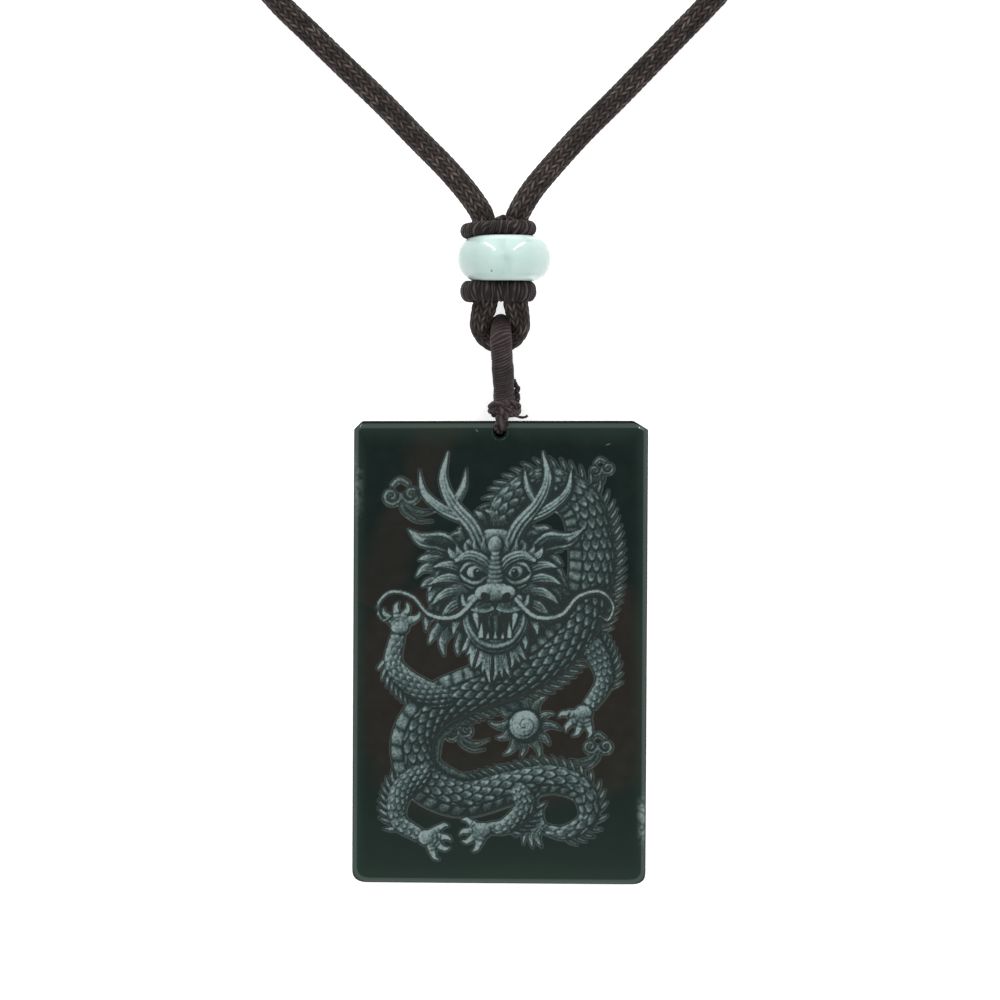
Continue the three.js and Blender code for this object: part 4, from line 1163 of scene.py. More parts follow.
leg([(9, 3.5), (12.6, 1), (14.3, -3.2), (12.2, -7)], [1.9, 1.7, 1.25, 0.95], 0.4, 1)
foot((11.4, -7.9), -2.2, 2.2, 0.6)
crest(BODY, BODY_WIDTHS, 1, 0.95, 1.7, 0.2, 0.0, 0.97)
ribbon(BODY, BODY_WIDTHS, 0.6, 0.55, 0.85, scaly(1.45, 0.42))
leg([(-6.2, -6.4), (-10.8, -4.8), (-14.4, -1.4), (-13.9, 2.8)], [1.9, 1.7, 1.25, 0.95], 1.7, 1)
foot((-13.6, 3.8), 1.45, 2.2, 2.1)
leg([(-9.6, -15.4), (-13.4, -18.6), (-13.9, -22.4), (-10.9, -24.6)], [1.9, 1.6, 1.15, 0.9], 1.7, -1)
foot((-9.9, -24.9), -0.3, 2.1, 2.1)
leg([(2.2, -17.6), (3.4, -20.6), (0.9, -23.2), (-1.6, -23.6)], [1.6, 1.45, 1.05, 0.8], 1.7, 1)
foot((-2.4, -23.9), 3.45, 1.9, 2.1)
for k, heading in enumerate(np.linspace(1.5, 4.6, 9)):
    flame(np.array(BODY[-1]) + (0.4, 0.2), heading, 4.4 - 0.35 * abs(k - 4), 0.62, 0.9, 0.9,
          0.4 if k < 5 else -0.4)


# %% [markdown]
# ## The flaming pearl
# The dragon reaches for a pearl wrapped in flames. It is a dome with one spiral line,
# laid over a wheel of twelve locks that all lean the same way.


# %% Pearl
def pearl_line(a, b):
    """One fine spiral line cut into the pearl."""
    line = np.abs(np.sin(0.5 * np.arctan2(b, a) + 5.5 * np.hypot(a, b))) < 0.18
    return -0.12 * line, np.where(line, 0.4, 1.0)


PEARL = np.array([3.4, -9.6])
for k, angle in enumerate(np.arange(12) * np.pi / 6 + 0.15):
    root = PEARL + 1.9 * np.array([math.cos(angle), math.sin(angle)])
    flame(root, angle + 0.5, 2.5 + 0.7 * (k % 2), 0.55, 0.2, 0.8, 0.35)
dome(PEARL, (2.1, 2.1), 1.2, 1.5, 1.15, skin=pearl_line)

# %% [markdown]
# ## The head
# The head looks straight out, as on old roof tiles and robes: antlers, leaf-shaped ears,
# bulging eyes under curled brows, a broad nose, an open mouth, a mane and long whiskers.
# Only the right half is listed; every pair of parts is laid down twice, mirrored.

# %% Head helpers
HEAD, HEAD_SIZE = np.array([-0.6, 10.2]), 1.13


def on_head(points, side=1):
    """Places given from the head's middle in its own units, mirrored by side."""
    return HEAD + HEAD_SIZE * np.asarray(points, float) * (side, 1)


def head_ribbon(points, widths, *rest, side=1):
    """A ribbon whose places and widths are in the head's units."""
    ribbon(on_head(points, side), [HEAD_SIZE * w for w in widths], *rest)


def head_dome(centre, radii, *rest, side=1, turn=0.0):
    """A dome whose centre and radii are in the head's units."""
    dome(on_head(centre, side), (HEAD_SIZE * radii[0], HEAD_SIZE * radii[1]), *rest,
         turn=side * turn)


def head_flame(root, heading, length, width, base, tint, bend, side=1):
    """A flame whose root, length and width are in the head's units."""
    heading = heading if side > 0 else math.pi - heading
    flame(on_head(root, side), heading, HEAD_SIZE * length, HEAD_SIZE * width, base, tint,
          side * bend)


# %% [markdown]
# ## Mane, antlers and ears
# They lie behind the face, so they come first. The mane is two fans of locks, and a
# slow sine changes their length and bend, so that no two neighbours match.


# %% Mane, antlers and ears
for inner, outer, count, base, tint in ((4.6, 10.2, 34, 2.0, 0.75), (4.2, 8.4, 30, 2.4, 0.9)):
    for k in range(count):
        angle = -1.25 + k / (count - 1) * (math.pi + 2.5)
        d = np.array([math.cos(angle), math.sin(angle)])
        n = np.array([-d[1], d[0]]) * (1 if d[0] < 0 else -1)
        size = outer * (1 + 0.1 * math.sin(5.3 * k)) * (1 - 0.22 * max(d[1], 0))
        size *= 0.92 if abs(d[1]) < 0.5 else 1
        bend = 0.16 + 0.08 * math.sin(3.1 * k)
        line = [0.8 * inner * d, (0.6 * inner + 0.4 * size) * d - 2.8 * bend * n,
                (0.2 * inner + 0.8 * size) * d - 2.1 * bend * n, size * d + 3.2 * bend * n]
        head_ribbon(line, [0.7, 0.8, 0.5, 0.04], base, 0.55, tint, hairy(5))
for side in (-1, 1):
    head_ribbon([(1.7, 4.2), (2.9, 6.6), (5.1, 9.2), (6.3, 12.2), (5.7, 15.6)],
                [0.95, 0.9, 0.75, 0.55, 0.08],
                4.2, 0.9, 1.05, hairy(3), side=side)
    head_ribbon([(3.6, 7.4), (6.4, 8.6), (8.6, 10.6), (9.2, 13.4)], [0.7, 0.62, 0.45, 0.06], 4.0,
                0.9, 1.0, hairy(3), side=side)
    head_ribbon([(5, 9.2), (3.9, 11.2), (3.5, 13.6)], [0.5, 0.42, 0.05], 4.1, 0.9, 1.0, hairy(2),
                side=side)
    head_ribbon([(4.2, 3.2), (6.4, 4.6), (8.9, 4.9), (10.6, 6.2)], [0.6, 1.15, 0.8, 0.05], 3.4, 0.5,
                0.9, hairy(2), side=side)
    head_ribbon([(4.6, 3.4), (6.6, 4.6), (8.6, 4.9)], [0.2, 0.45, 0.1], 4.0, 0.1, 0.35, side=side)

# %% [markdown]
# ## Brows, eyes and cheeks
# The skull is one broad dome. Smaller domes on it make cheeks and eyes, and short
# locks make brows and the fringe of the cheeks.


# %% Brows, eyes and cheeks
head_dome((0, 2.6), (4.4, 3.6), 3.6, 1.6, 0.9)
for side in (-1, 1):
    head_dome((3.6, -1.4), (1.9, 2.5), 3.4, 1.3, 0.85, side=side)
    for x, y, heading, length in ((4.0, 1.2, 0.15, 3.6), (4.2, 0, -0.1, 3.9),
                                  (4.2, -1.3, -0.4, 3.9),
                                  (3.9, -2.6, -0.7, 3.7), (3.4, -3.7, -1.0, 3.4)):
        head_flame((x, y), heading, length, 0.62, 4.3, 1.0, 0.22, side=side)
    for k in range(5):
        heading = math.atan2(1, 0.35 + 0.16 * k)
        head_flame((0.8 + 0.95 * k, 3 - 0.06 * k), heading, 2.1 - 0.12 * k, 0.48, 5.2, 1.05, -0.25,
                   side=side)
    head_ribbon([(0.55, 1.2), (1.5, 2.4), (3.2, 3.0), (4.9, 2.3)], [0.5, 0.72, 0.66, 0.2], 6.0, 0.8,
                1.1, hairy(3), side=side)
    head_ribbon([(0.95, 0.75), (2.1, 1.95), (3.5, 1.85), (4.3, 0.9)], [0.2, 0.3, 0.28, 0.1], 5.9,
                0.8, 0.9, side=side)
    head_dome((2.5, 0.85), (1.5, 1.08), 5.0, 0.3, 0.25, side=side)
    head_dome((2.45, 0.95), (1.0, 0.92), 5.4, 1.0, 1.25, side=side)
    head_dome((2.3, 0.95), (0.42, 0.5), 6.45, 0.1, 0.1, side=side)
    head_dome((2.18, 1.12), (0.14, 0.14), 6.7, 0.1, 1.4, side=side)
    head_ribbon([(1.0, 0.45), (2.2, -0.35), (3.6, 0.05), (4.3, 0.8)], [0.2, 0.28, 0.25, 0.1], 5.8,
                0.7, 0.95, side=side)
    head_ribbon([(1.1, -0.2), (2.4, -1.0), (3.8, -0.5)], [0.12, 0.26, 0.08], 5.2, 0.7, 0.9,
                side=side)

# %% [markdown]
# ## Mouth, nose, beard and whiskers
# The open mouth is a flat dark dome with teeth on it, framed by two lips. The nose
# stands highest of all, and the whiskers and beard are ribbons that run to a point.


# %% Mouth, nose, beard and whiskers
head_dome((0, -5.0), (3.0, 2.6), 5.0, 0.1, 0.12)
head_ribbon([(-3.5, -3.4), (-3.2, -5.6), (-1.9, -7.4), (0, -8), (1.9, -7.4), (3.2, -5.6),
             (3.5, -3.4)],
            [0.5, 0.6, 0.75, 0.85, 0.75, 0.6, 0.5], 5.2, 0.8, 1.0, hairy(2))
head_ribbon([(0, -4.2), (0.1, -5.6), (0, -6.9)], [1.0, 1.05, 0.35], 5.3, 0.5, 0.75, hairy(2))
for x in (-0.9, 0.0, 0.9):
    head_ribbon([(x, -7.1), (x, -6.3)], [0.25, 0.05], 6.1, 0.9, 1.2)
for side in (-1, 1):
    head_ribbon([(1.7, -7.0), (1.73, -6.2), (1.62, -5.0)], [0.32, 0.28, 0.03], 6.1, 0.9, 1.3,
                side=side)
    head_ribbon([(2.3, -3.3), (2.37, -4.4), (2.07, -6.0)], [0.42, 0.36, 0.03], 6.4, 0.9, 1.35,
                side=side)
    for x in (0.5, 1.35):
        head_ribbon([(x, -3.2), (x, -4.3)], [0.3, 0.05], 6.3, 0.9, 1.25, side=side)
    head_dome((1.75, -2.6), (1.75, 1.05), 6.0, 1.0, 0.95, side=side, turn=0.1)
    head_ribbon([(0.1, -3.4), (1.2, -3.75), (2.6, -3.6), (3.7, -2.9), (4.0, -1.8)],
                [0.25, 0.32, 0.36, 0.36, 0.15],
                6.6, 0.8, 1.1, hairy(2), side=side)
    for spot in ((1.1, -2.6), (1.9, -2.8), (2.6, -2.4), (1.6, -2.1)):
        head_dome(spot, (0.1, 0.1), 7.3, 0.05, 0.3, side=side)
head_ribbon([(0, 3.4), (0, 1.8), (0, 0.2), (0, -1.0)], [0.5, 0.8, 1.05, 1.45], 6.3, 0.7, 1.0,
            folded(0.62))
head_dome((0, -1.5), (2.3, 1.15), 6.9, 0.9, 1.05)
head_dome((0, 4.1), (0.9, 1.2), 5.4, 0.7, 1.0)
for side in (-1, 1):
    head_dome((1.45, -1.6), (1.05, 0.95), 7.2, 0.9, 1.1, side=side)
    head_dome((1.3, -1.85), (0.5, 0.36), 8.15, 0.05, 0.08, side=side, turn=0.5)
    head_ribbon([(2.2, -2.1), (4.8, -4.4), (7.9, -4.2), (10, -2), (12.6, -1.4), (14.2, -3),
                 (13.6, -4.8), (12.5, -4.3)],
                [0.3, 0.26, 0.22, 0.2, 0.18, 0.15, 0.12, 0.05], 7.2, 0.9, 1.1, side=side)
for k in range(13):
    share = (k - 6) / 6
    length = 4.8 - 1.8 * abs(share) + 0.5 * math.sin(4.1 * k)
    d = np.array([0.55 * share, -1]) / math.hypot(0.55 * share, 1)
    n = np.array([-d[1], d[0]]) * 0.5 * math.sin(2.2 * k + 0.4)
    root = np.array([2.6 * share, -7.7 + 1.6 * abs(share) ** 1.5])
    line = [root, root + 0.35 * length * d + 0.5 * n, root + 0.7 * length * d + 0.3 * n,
            root + length * d - 0.6 * n]
    head_ribbon(line, [0.42, 0.46, 0.32, 0.03], 4.6, 0.6, 0.95, hairy(3))

# %% [markdown]
# ## From heights to frost and depth
# The picture is blasted with fine grit: long on the high places, hardly at all in the
# hollows, so the white of the frost does the modelling. Its tone is worked out from the
# board as a carver would light it, from the upper left, with darker hollows and edges.
# The cut itself is shallow, a fifth of a millimetre, and follows the same heights.


# %% Frost and depth maps
def softened(values, radius, times=2):
    """Box mean over this radius in millimetres, by running sums along each direction."""
    k = 2 * int(round(radius / CELL)) + 1
    for axis in (0, 1) * times:
        pad = [(0, 0), (0, 0)]
        pad[axis] = (k // 2 + 1, k // 2)
        total = np.cumsum(np.pad(values, pad, mode="edge"), axis=axis)
        size = total.shape[axis]
        values = (np.take(total, np.arange(k, size), axis) - np.take(total, np.arange(size - k),
                                                                     axis)) / k
    return values


def picture_maps():
    """Frost = tint * (0.1 + 0.9 light) * (0.85 + 0.9 hollow + 0.2 breadth), and depth in mm.
    Every sunk place keeps at least a breath of frost, because the blast dulls the cut's walls."""
    drawn = board["height"] > BARE + 1
    ground = np.where(drawn, board["height"], -1.2)
    slope_y, slope_x = np.gradient(softened(ground, 0.05, 1), CELL)
    slope_x, slope_y = 0.7 * slope_x, 0.7 * slope_y
    light = np.clip((0.66 + 0.45 * slope_x - 0.6 * slope_y) / np.sqrt(1 + slope_x**2 + slope_y**2),
                    0, 1)
    hollow = np.clip(ground - softened(ground, 0.35), -1, 1)
    breadth = np.clip(ground - softened(ground, 1.3), -1.5, 1.5)
    frost = np.clip(board["tint"] * (0.1 + 0.9 * light) * (0.85 + 0.9 * hollow + 0.2 * breadth), 0,
                    1) * drawn
    level = 0.10 * np.clip(ground / 8, 0, 1) + 0.07 * np.clip(0.5 + 1.2 * hollow, 0, 1)
    depth = softened(drawn * (0.22 - level), 0.06, 1)
    print(f"picture: {drawn.mean():.0%} of its field is blasted, "
          f"mean frost {frost[drawn].mean():.2f}")
    return np.maximum(softened(frost, 0.04, 1), 0.1 * np.clip(depth / 0.04, 0, 1)), depth


frost_map, depth_map = picture_maps()

# %% [markdown]
# ## The tablet's outline
# The tablet is hand cut: no two corners match. Two are cut off straight and two are
# worn round. The outline is a closed line of points, and the same line drawn further in
# bounds the polished face, because the bevel between them is ground at an even slant.

# %% Tablet outline
THICKNESS = float(node_box("jade_tablet")[1][2])
TOP_LEFT, TOP_RIGHT = np.array([-18.9, 29.94]), np.array([19.2, 29.97])
BOTTOM_RIGHT, BOTTOM_LEFT = np.array([18.85, -30.1]), np.array([-19.15, -29.82])
SIDE_BEVEL, TOP_BEVEL, BEVEL_DEPTH = 0.52, 0.85, 0.52


def corner_line(start, corner, end, straight):
    """From start to end past a corner: a straight cut, or a quadratic arc for a worn one."""
    t = np.linspace(0, 1, 9)[:, None]
    if straight:
        return start + (end - start) * t
    return (1 - t) ** 2 * start + 2 * t * (1 - t) * corner + t**2 * end


def tablet_outline(side, top, bottom):
    """Four corner lines of an outline moved in by these amounts at the sides, top and bottom."""
    tl, tr = TOP_LEFT + (side, -top), TOP_RIGHT + (-side, -top)
    br, bl = BOTTOM_RIGHT + (-side, bottom), BOTTOM_LEFT + (side, bottom)
    return [
        corner_line(bl + (0, 1.6), bl, bl + (2.0, 0), False),
        corner_line(br - (1.8, 0), br, br + (0, 1.5), False),
        corner_line(tr - (0, 1.17), tr, tr - (1.9, 0), True),
        corner_line(tl + (1.07, 0), tl, tl - (0, 1.07), True),
    ]


def even_line(points, shares):
    """Points at these shares of a line's length."""
    s = distance_along(points)
    return np.stack([np.interp(shares * s[-1], s, points[:, k]) for k in range(2)], axis=1)


def outline_sides(corners, across, up):
    """Bottom, right, top and left lines, from the middle of one corner to the next."""
    half = len(corners[0]) // 2
    joined = [np.vstack([corners[k][half:], corners[(k + 1) % 4][:half + 1]]) for k in range(4)]
    return (even_line(joined[0], across), even_line(joined[1], up),
            even_line(joined[2][::-1], across), even_line(joined[3][::-1], up))


# %% [markdown]
# ## The tablet's surface
# The face is a fine grid, stretched between the four sides of its outline like a sheet
# (a Coons patch). Rings of points carry it over the bevel, down the side and under.
# Where the hole is, a block of cells gives way to rings that run down into the bore.

# %% Tablet surface
HOLE_RADIUS, RIM_RADIUS, RIM_DEPTH = 0.65, 1.02, 0.3
BLOCK = 16


def spaced(stops, counts):
    """Grid lines as shares 0 to 1: between two stops as many even steps as its count says."""
    parts = [np.linspace(a, b, n, endpoint=False) for a, b, n in zip(stops, stops[1:], counts)]
    values = np.append(np.concatenate(parts), stops[-1])
    return (values - stops[0]) / (stops[-1] - stops[0])


CREASE = 29.955 - TOP_BEVEL
across = spaced((-18.43, -15.6, 15.6, 18.43), (9, 208, 9))
upward = spaced((-29.4, -27.4, CREASE, 29.785), (7, 376, 5))


def coons_patch(bottom, right, top, left, u, v):
    """Sum of the two ruled surfaces between facing sides less the corners' bilinear part."""
    u, v = u[None, :, None], v[:, None, None]
    ruled = (1 - v) * bottom[None] + v * top[None] + (1 - u) * left[:, None] + u * right[:, None]
    corners = ((1 - u) * (1 - v) * bottom[0] + u * (1 - v) * bottom[-1]
               + (1 - u) * v * top[0] + u * v * top[-1])
    return ruled - corners


def rim_of(bottom, right, top, left):
    """The four sides as one closed line, counter-clockwise, no corner twice."""
    return np.vstack([bottom[:-1], right[:-1], top[::-1][:-1], left[::-1][:-1]])


def front_height(x, y, side_drop=0.0):
    """Height of the front: the thickness less the greater of the side's drop and the top bevel's,
    which grows from 0 at the crease to the bevel's depth at the top edge."""
    rise = (TOP_RIGHT[1] - TOP_LEFT[1]) * (x - TOP_LEFT[0]) / (TOP_RIGHT[0] - TOP_LEFT[0])
    top_edge = TOP_LEFT[1] + rise
    top_drop = BEVEL_DEPTH * np.clip(1 - (top_edge - y) / TOP_BEVEL, 0, 1)
    return THICKNESS - np.maximum(side_drop, top_drop)


PICTURE_SCALE = 0.95
PICTURE_CENTRE = (0.0, -0.4)


def read_map(values, x, y):
    """Bilinear reading of a map at places on the face; nothing outside its field."""
    column = ((x - PICTURE_CENTRE[0]) / PICTURE_SCALE + FIELD_X) / CELL
    row = ((y - PICTURE_CENTRE[1]) / PICTURE_SCALE + FIELD_Y) / CELL
    inside = (column > 0) & (column < values.shape[1] - 1) & (row > 0) & (row < values.shape[0] - 1)
    column, row = np.where(inside, column, 0), np.where(inside, row, 0)
    j, i = column.astype(int), row.astype(int)
    fj, fi = column - j, row - i
    low = values[i, j] * (1 - fj) + values[i, j + 1] * fj
    high = values[i + 1, j] * (1 - fj) + values[i + 1, j + 1] * fj
    return np.where(inside, low * (1 - fi) + high * fi, 0)


def tablet_mesh():
    """Front grid, edge rings, bore rings and the back's faces, put together as one closed mesh."""
    inset = SIDE_BEVEL + 0.07
    sides = outline_sides(tablet_outline(inset, 0.17, inset), across, upward)
    grid = coons_patch(*sides, across, upward)
    rows, columns = grid.shape[:2]
    column = int(np.argmin(np.abs(grid[rows // 2, :, 0]))) - BLOCK // 2
    row = int(np.argmin(np.abs(grid[:, columns // 2, 1] - HOLE_Y))) - BLOCK // 2
    z = front_height(grid[:, :, 0], grid[:, :, 1]) - read_map(depth_map, grid[:, :, 0],
                                                              grid[:, :, 1])
    front = np.concatenate([grid, z[:, :, None]], axis=2).reshape(-1, 3)
    quads, index = grid_faces(rows, columns, False, False)
    in_block = ((index[:, 0] >= row) & (index[:, 0] < row + BLOCK)
                & (index[:, 1] >= column) & (index[:, 1] < column + BLOCK))
    quads = quads[~in_block]

    k, number = np.arange(BLOCK), lambda i, j: i * columns + j
    block_rim = np.concatenate([number(row, column + k), number(row + k, column + BLOCK),
                                number(row + BLOCK, column + BLOCK - k),
                                number(row + BLOCK - k, column)])
    grid_rim = np.concatenate([number(0, np.arange(columns - 1)),
                               number(np.arange(rows - 1), columns - 1),
                               number(rows - 1, np.arange(columns - 1, 0, -1)),
                               number(np.arange(rows - 1, 0, -1), 0)])

    def edge_ring(inset, top, side_drop, height=None):
        """The outline moved in by these amounts, on the front's slope or at one height."""
        line = rim_of(*outline_sides(tablet_outline(inset, top, inset), across, upward))
        if height is None:
            return np.column_stack([line, front_height(line[:, 0], line[:, 1], side_drop)])
        return np.column_stack([line, np.full(len(line), height)])

    rings = [edge_ring(0.46, 0.14, 0.03), edge_ring(0.06, 0.08, BEVEL_DEPTH - 0.09),
             edge_ring(0, 0, BEVEL_DEPTH + 0.07), edge_ring(0, 0, 0, BEVEL_DEPTH + 0.1),
             edge_ring(0.06, 0.06, 0, BEVEL_DEPTH - 0.06), edge_ring(0.46, 0.46, 0, 0.03),
             edge_ring(0.56, 0.56, 0, 0.0)]
    points, faces, start = [front], [quads], len(front)
    rim = grid_rim
    for line in rings:
        here = start + np.arange(len(line))
        faces.append(np.stack([rim, here, np.roll(here, -1), np.roll(rim, -1)], axis=1))
        points.append(line)
        rim, start = here, start + len(line)
    edge_back, edge_line = rim, rings[-1]

    angle = np.arctan2(front[block_rim, 1] - HOLE_Y, front[block_rim, 0])
    circle = np.stack([np.cos(angle), np.sin(angle)], axis=1)
    rim = block_rim
    bore = [(RIM_RADIUS + 0.04, None), (RIM_RADIUS, None), (RIM_RADIUS - 0.07, THICKNESS - 0.06),
            (RIM_RADIUS - 0.1, THICKNESS - 0.14), (HOLE_RADIUS + 0.04, THICKNESS - RIM_DEPTH),
            (HOLE_RADIUS, THICKNESS - RIM_DEPTH - 0.08),
            (HOLE_RADIUS, RIM_DEPTH + 0.05), (RIM_RADIUS, 0)]
    for radius, height in bore:
        spot = circle * radius + (0, HOLE_Y)
        brim = front_height(spot[:, 0], spot[:, 1])
        line = np.column_stack([spot, brim if height is None else np.minimum(height, brim - 0.02)])
        here = start + np.arange(len(line))
        faces.append(np.stack([rim, here, np.roll(here, -1), np.roll(rim, -1)], axis=1)[:, ::-1])
        points.append(line)
        rim, start = here, start + len(line)

    split_edge = [int(np.argmin(np.hypot(edge_line[:, 0], edge_line[:, 1] - y))) for y in (-30, 30)]
    split_bore = [int(np.argmin(np.abs(angle - a))) for a in (-np.pi / 2, np.pi / 2)]

    def stretch(numbers, first, last):
        """The numbers of a closed ring from one place to another, past its start if need be."""
        return numbers[first:last + 1] if last >= first else np.concatenate([numbers[first:],
                                                                             numbers[:last + 1]])

    right_half = np.concatenate([stretch(edge_back, *split_edge), stretch(rim, *split_bore)[::-1]])
    left_half = np.concatenate([stretch(edge_back, *split_edge[::-1]),
                                stretch(rim, *split_bore[::-1])[::-1]])
    faces += [right_half[::-1][None, :], left_half[::-1][None, :]]
    points = np.vstack(points)
    frost = np.zeros(len(points))
    frost[:len(front)] = read_map(frost_map, front[:, 0], front[:, 1])
    tablet = make_mesh("dark_jade_tablet", points, faces, {"frost": frost})
    return tablet


tablet = tablet_mesh()

# %% [markdown]
# ## Dark jade
# The stone is near-black green with a broad browner zone: a pillow over the tablet's
# lower half and a band that leads up to the left of the hole. Towards the edges the green
# is lighter, where light leaks in. Pale flecks and two hairlines are wear. Where the
# picture is blasted in, the surface is grey-white with tiny pits and quite matt.


# %% Dark jade material
# The border of the brown wavers over 9 mm, the mottle is 1.7 mm, flecks are 0.5 mm in groups
# of 2.5 mm, and the blast pits are 0.3 mm, coarser than real grit's so that they show.
STONE_BORDER, STONE_MOTTLE = 110.0, 600.0
FLECKS, FLECK_GROUPS, BLAST_PITS = 1900.0, 400.0, 3300.0


def turned(tree, x, y, middle, angle):
    """Distances in millimetres along and across a line through a middle at this angle."""
    c, s = math.cos(angle), math.sin(angle)
    along = node(tree, "Math.MULTIPLY_ADD", [y, s / MM, -(middle[0] * c + middle[1] * s)])
    across = node(tree, "Math.MULTIPLY_ADD", [y, c / MM, middle[0] * s - middle[1] * c])
    return (node(tree, "Math.MULTIPLY_ADD", [x, c / MM, along]),
            node(tree, "Math.MULTIPLY_ADD", [x, -s / MM, across]))


def stone_colour(tree, where, x, y):
    """Green, and brown where (u / 19)^4 + (v / 15)^4 < 1 or within 3 mm of the band's line;
    a wide noise shifts the border and a fine one mottles both."""
    wide = node(tree, "TexNoise", {"Vector": where, "Scale": STONE_BORDER, "Detail": 2.0})
    fine = node(tree, "TexNoise", {"Vector": where, "Scale": STONE_MOTTLE, "Detail": 5.0})
    shift = node(tree, "Math.MULTIPLY_ADD", [wide, 0.9, -0.45])
    u, v = turned(tree, x, y, (1.0, -5.5), 0.1)
    u, v = node(tree, "Math.DIVIDE", [u, 19.0]), node(tree, "Math.DIVIDE", [v, 15.0])
    u, v = (node(tree, "Math.POWER", [node(tree, "Math.ABSOLUTE", [t]), 4.0]) for t in (u, v))
    pillow = node(tree, "Math.ADD", [u, v])
    pillow = node(tree, "MapRange", {"Value": node(tree, "Math.ADD", [pillow, shift]),
                                     "From Min": 1.35, "From Max": 0.7},
                  interpolation_type="SMOOTHSTEP")
    band_along, band_across = turned(tree, x, y, (-11.0, 20.8), 1.226)
    band = node(tree, "MapRange",
                {"Value": node(tree, "Math.MULTIPLY_ADD",
                               [shift, 3.0, node(tree, "Math.ABSOLUTE", [band_across])]),
                 "From Min": 4.0, "From Max": 1.6}, interpolation_type="SMOOTHSTEP")
    band = node(tree, "Math.MULTIPLY",
                [band,
                 node(tree, "Math.LESS_THAN", [node(tree, "Math.MULTIPLY", [band_along, -1.0]),
                                               16.0])])
    mottle = node(tree, "Math.MULTIPLY_ADD", [fine, 0.6, 0.2])
    green = node(tree, "ValToRGB", [mottle],
                 stops=[(0.2, "#101817"), (0.5, "#141d1b"), (0.8, "#192321")])
    brown = node(tree, "ValToRGB", [mottle],
                 stops=[(0.2, "#1d1b19"), (0.5, "#23211e"), (0.8, "#292724")])
    stone = node(tree, "Mix",
                 {0: node(tree, "Math.MAXIMUM",
                          [pillow, node(tree, "Math.MULTIPLY", [band, 0.75])]), 6: green, 7: brown},
                 data_type="RGBA")
    u, v = node(tree, "Math.ABSOLUTE", [x]), node(tree, "Math.ABSOLUTE", [y])
    u, v = node(tree, "Math.DIVIDE", [u, 19.1 * MM]), node(tree, "Math.DIVIDE", [v, 30 * MM])
    edge = node(tree, "Math.MAXIMUM", [u, v])
    edge = node(tree, "MapRange", {"Value": node(tree, "Math.MULTIPLY_ADD", [shift, 0.08, edge]),
                                   "From Min": 0.88, "From Max": 1.0},
                interpolation_type="SMOOTHSTEP")
    foot = node(tree, "MapRange", {"Value": y, "From Min": -12 * MM, "From Max": -30 * MM})
    stone = node(tree, "Mix", {0: node(tree, "Math.MULTIPLY", [foot, 0.8]), 6: stone, 7: "#232c28"},
                 data_type="RGBA")
    return node(tree, "Mix", {0: node(tree, "Math.MULTIPLY", [edge, 0.7]), 6: stone, 7: "#25322c"},
                data_type="RGBA"), fine


def worn(tree, where, x, y, stone):
    """Pale flecks at two knocked places of the long edges, where two noises agree, and two
    hairline scratches."""
    chips = node(tree, "TexNoise", {"Vector": where, "Scale": FLECKS, "Detail": 3.0})
    spread = node(tree, "TexNoise", {"Vector": where, "Scale": FLECK_GROUPS, "Detail": 1.0})
    right = node(tree, "Math.MULTIPLY",
                 [near(tree, x, 18.8 * MM, 1.3 * MM), near(tree, y, -21.6 * MM, 4.6 * MM)])
    left = node(tree, "Math.MULTIPLY",
                [near(tree, x, -19.0 * MM, 1.7 * MM), near(tree, y, 21.5 * MM, 7.0 * MM)])
    knocked = node(tree, "Math.MAXIMUM", [right, node(tree, "Math.MULTIPLY", [left, 0.3])])
    fleck = node(tree, "MapRange", {"Value": node(tree, "Math.MULTIPLY", [chips, spread]),
                                    "From Min": 0.19, "From Max": 0.33})
    fleck = node(tree, "Math.MULTIPLY",
                 [fleck, node(tree, "Math.MULTIPLY", [knocked, 1.6], use_clamp=True)])
    for middle, angle, half in (((-3.0, 28.7), -0.77, 0.35), ((14.0, 26.9), 0.3, 0.45)):
        along, across = turned(tree, x, y, middle, angle)
        line = node(tree, "Math.MULTIPLY",
                    [near(tree, across, 0.0, 0.09), near(tree, along, 0.0, half)])
        fleck = node(tree, "Math.MAXIMUM", [fleck, line])
    return node(tree, "Mix", {0: node(tree, "Math.MULTIPLY", [fleck, 0.7]), 6: stone, 7: "#76827d"},
                data_type="RGBA")


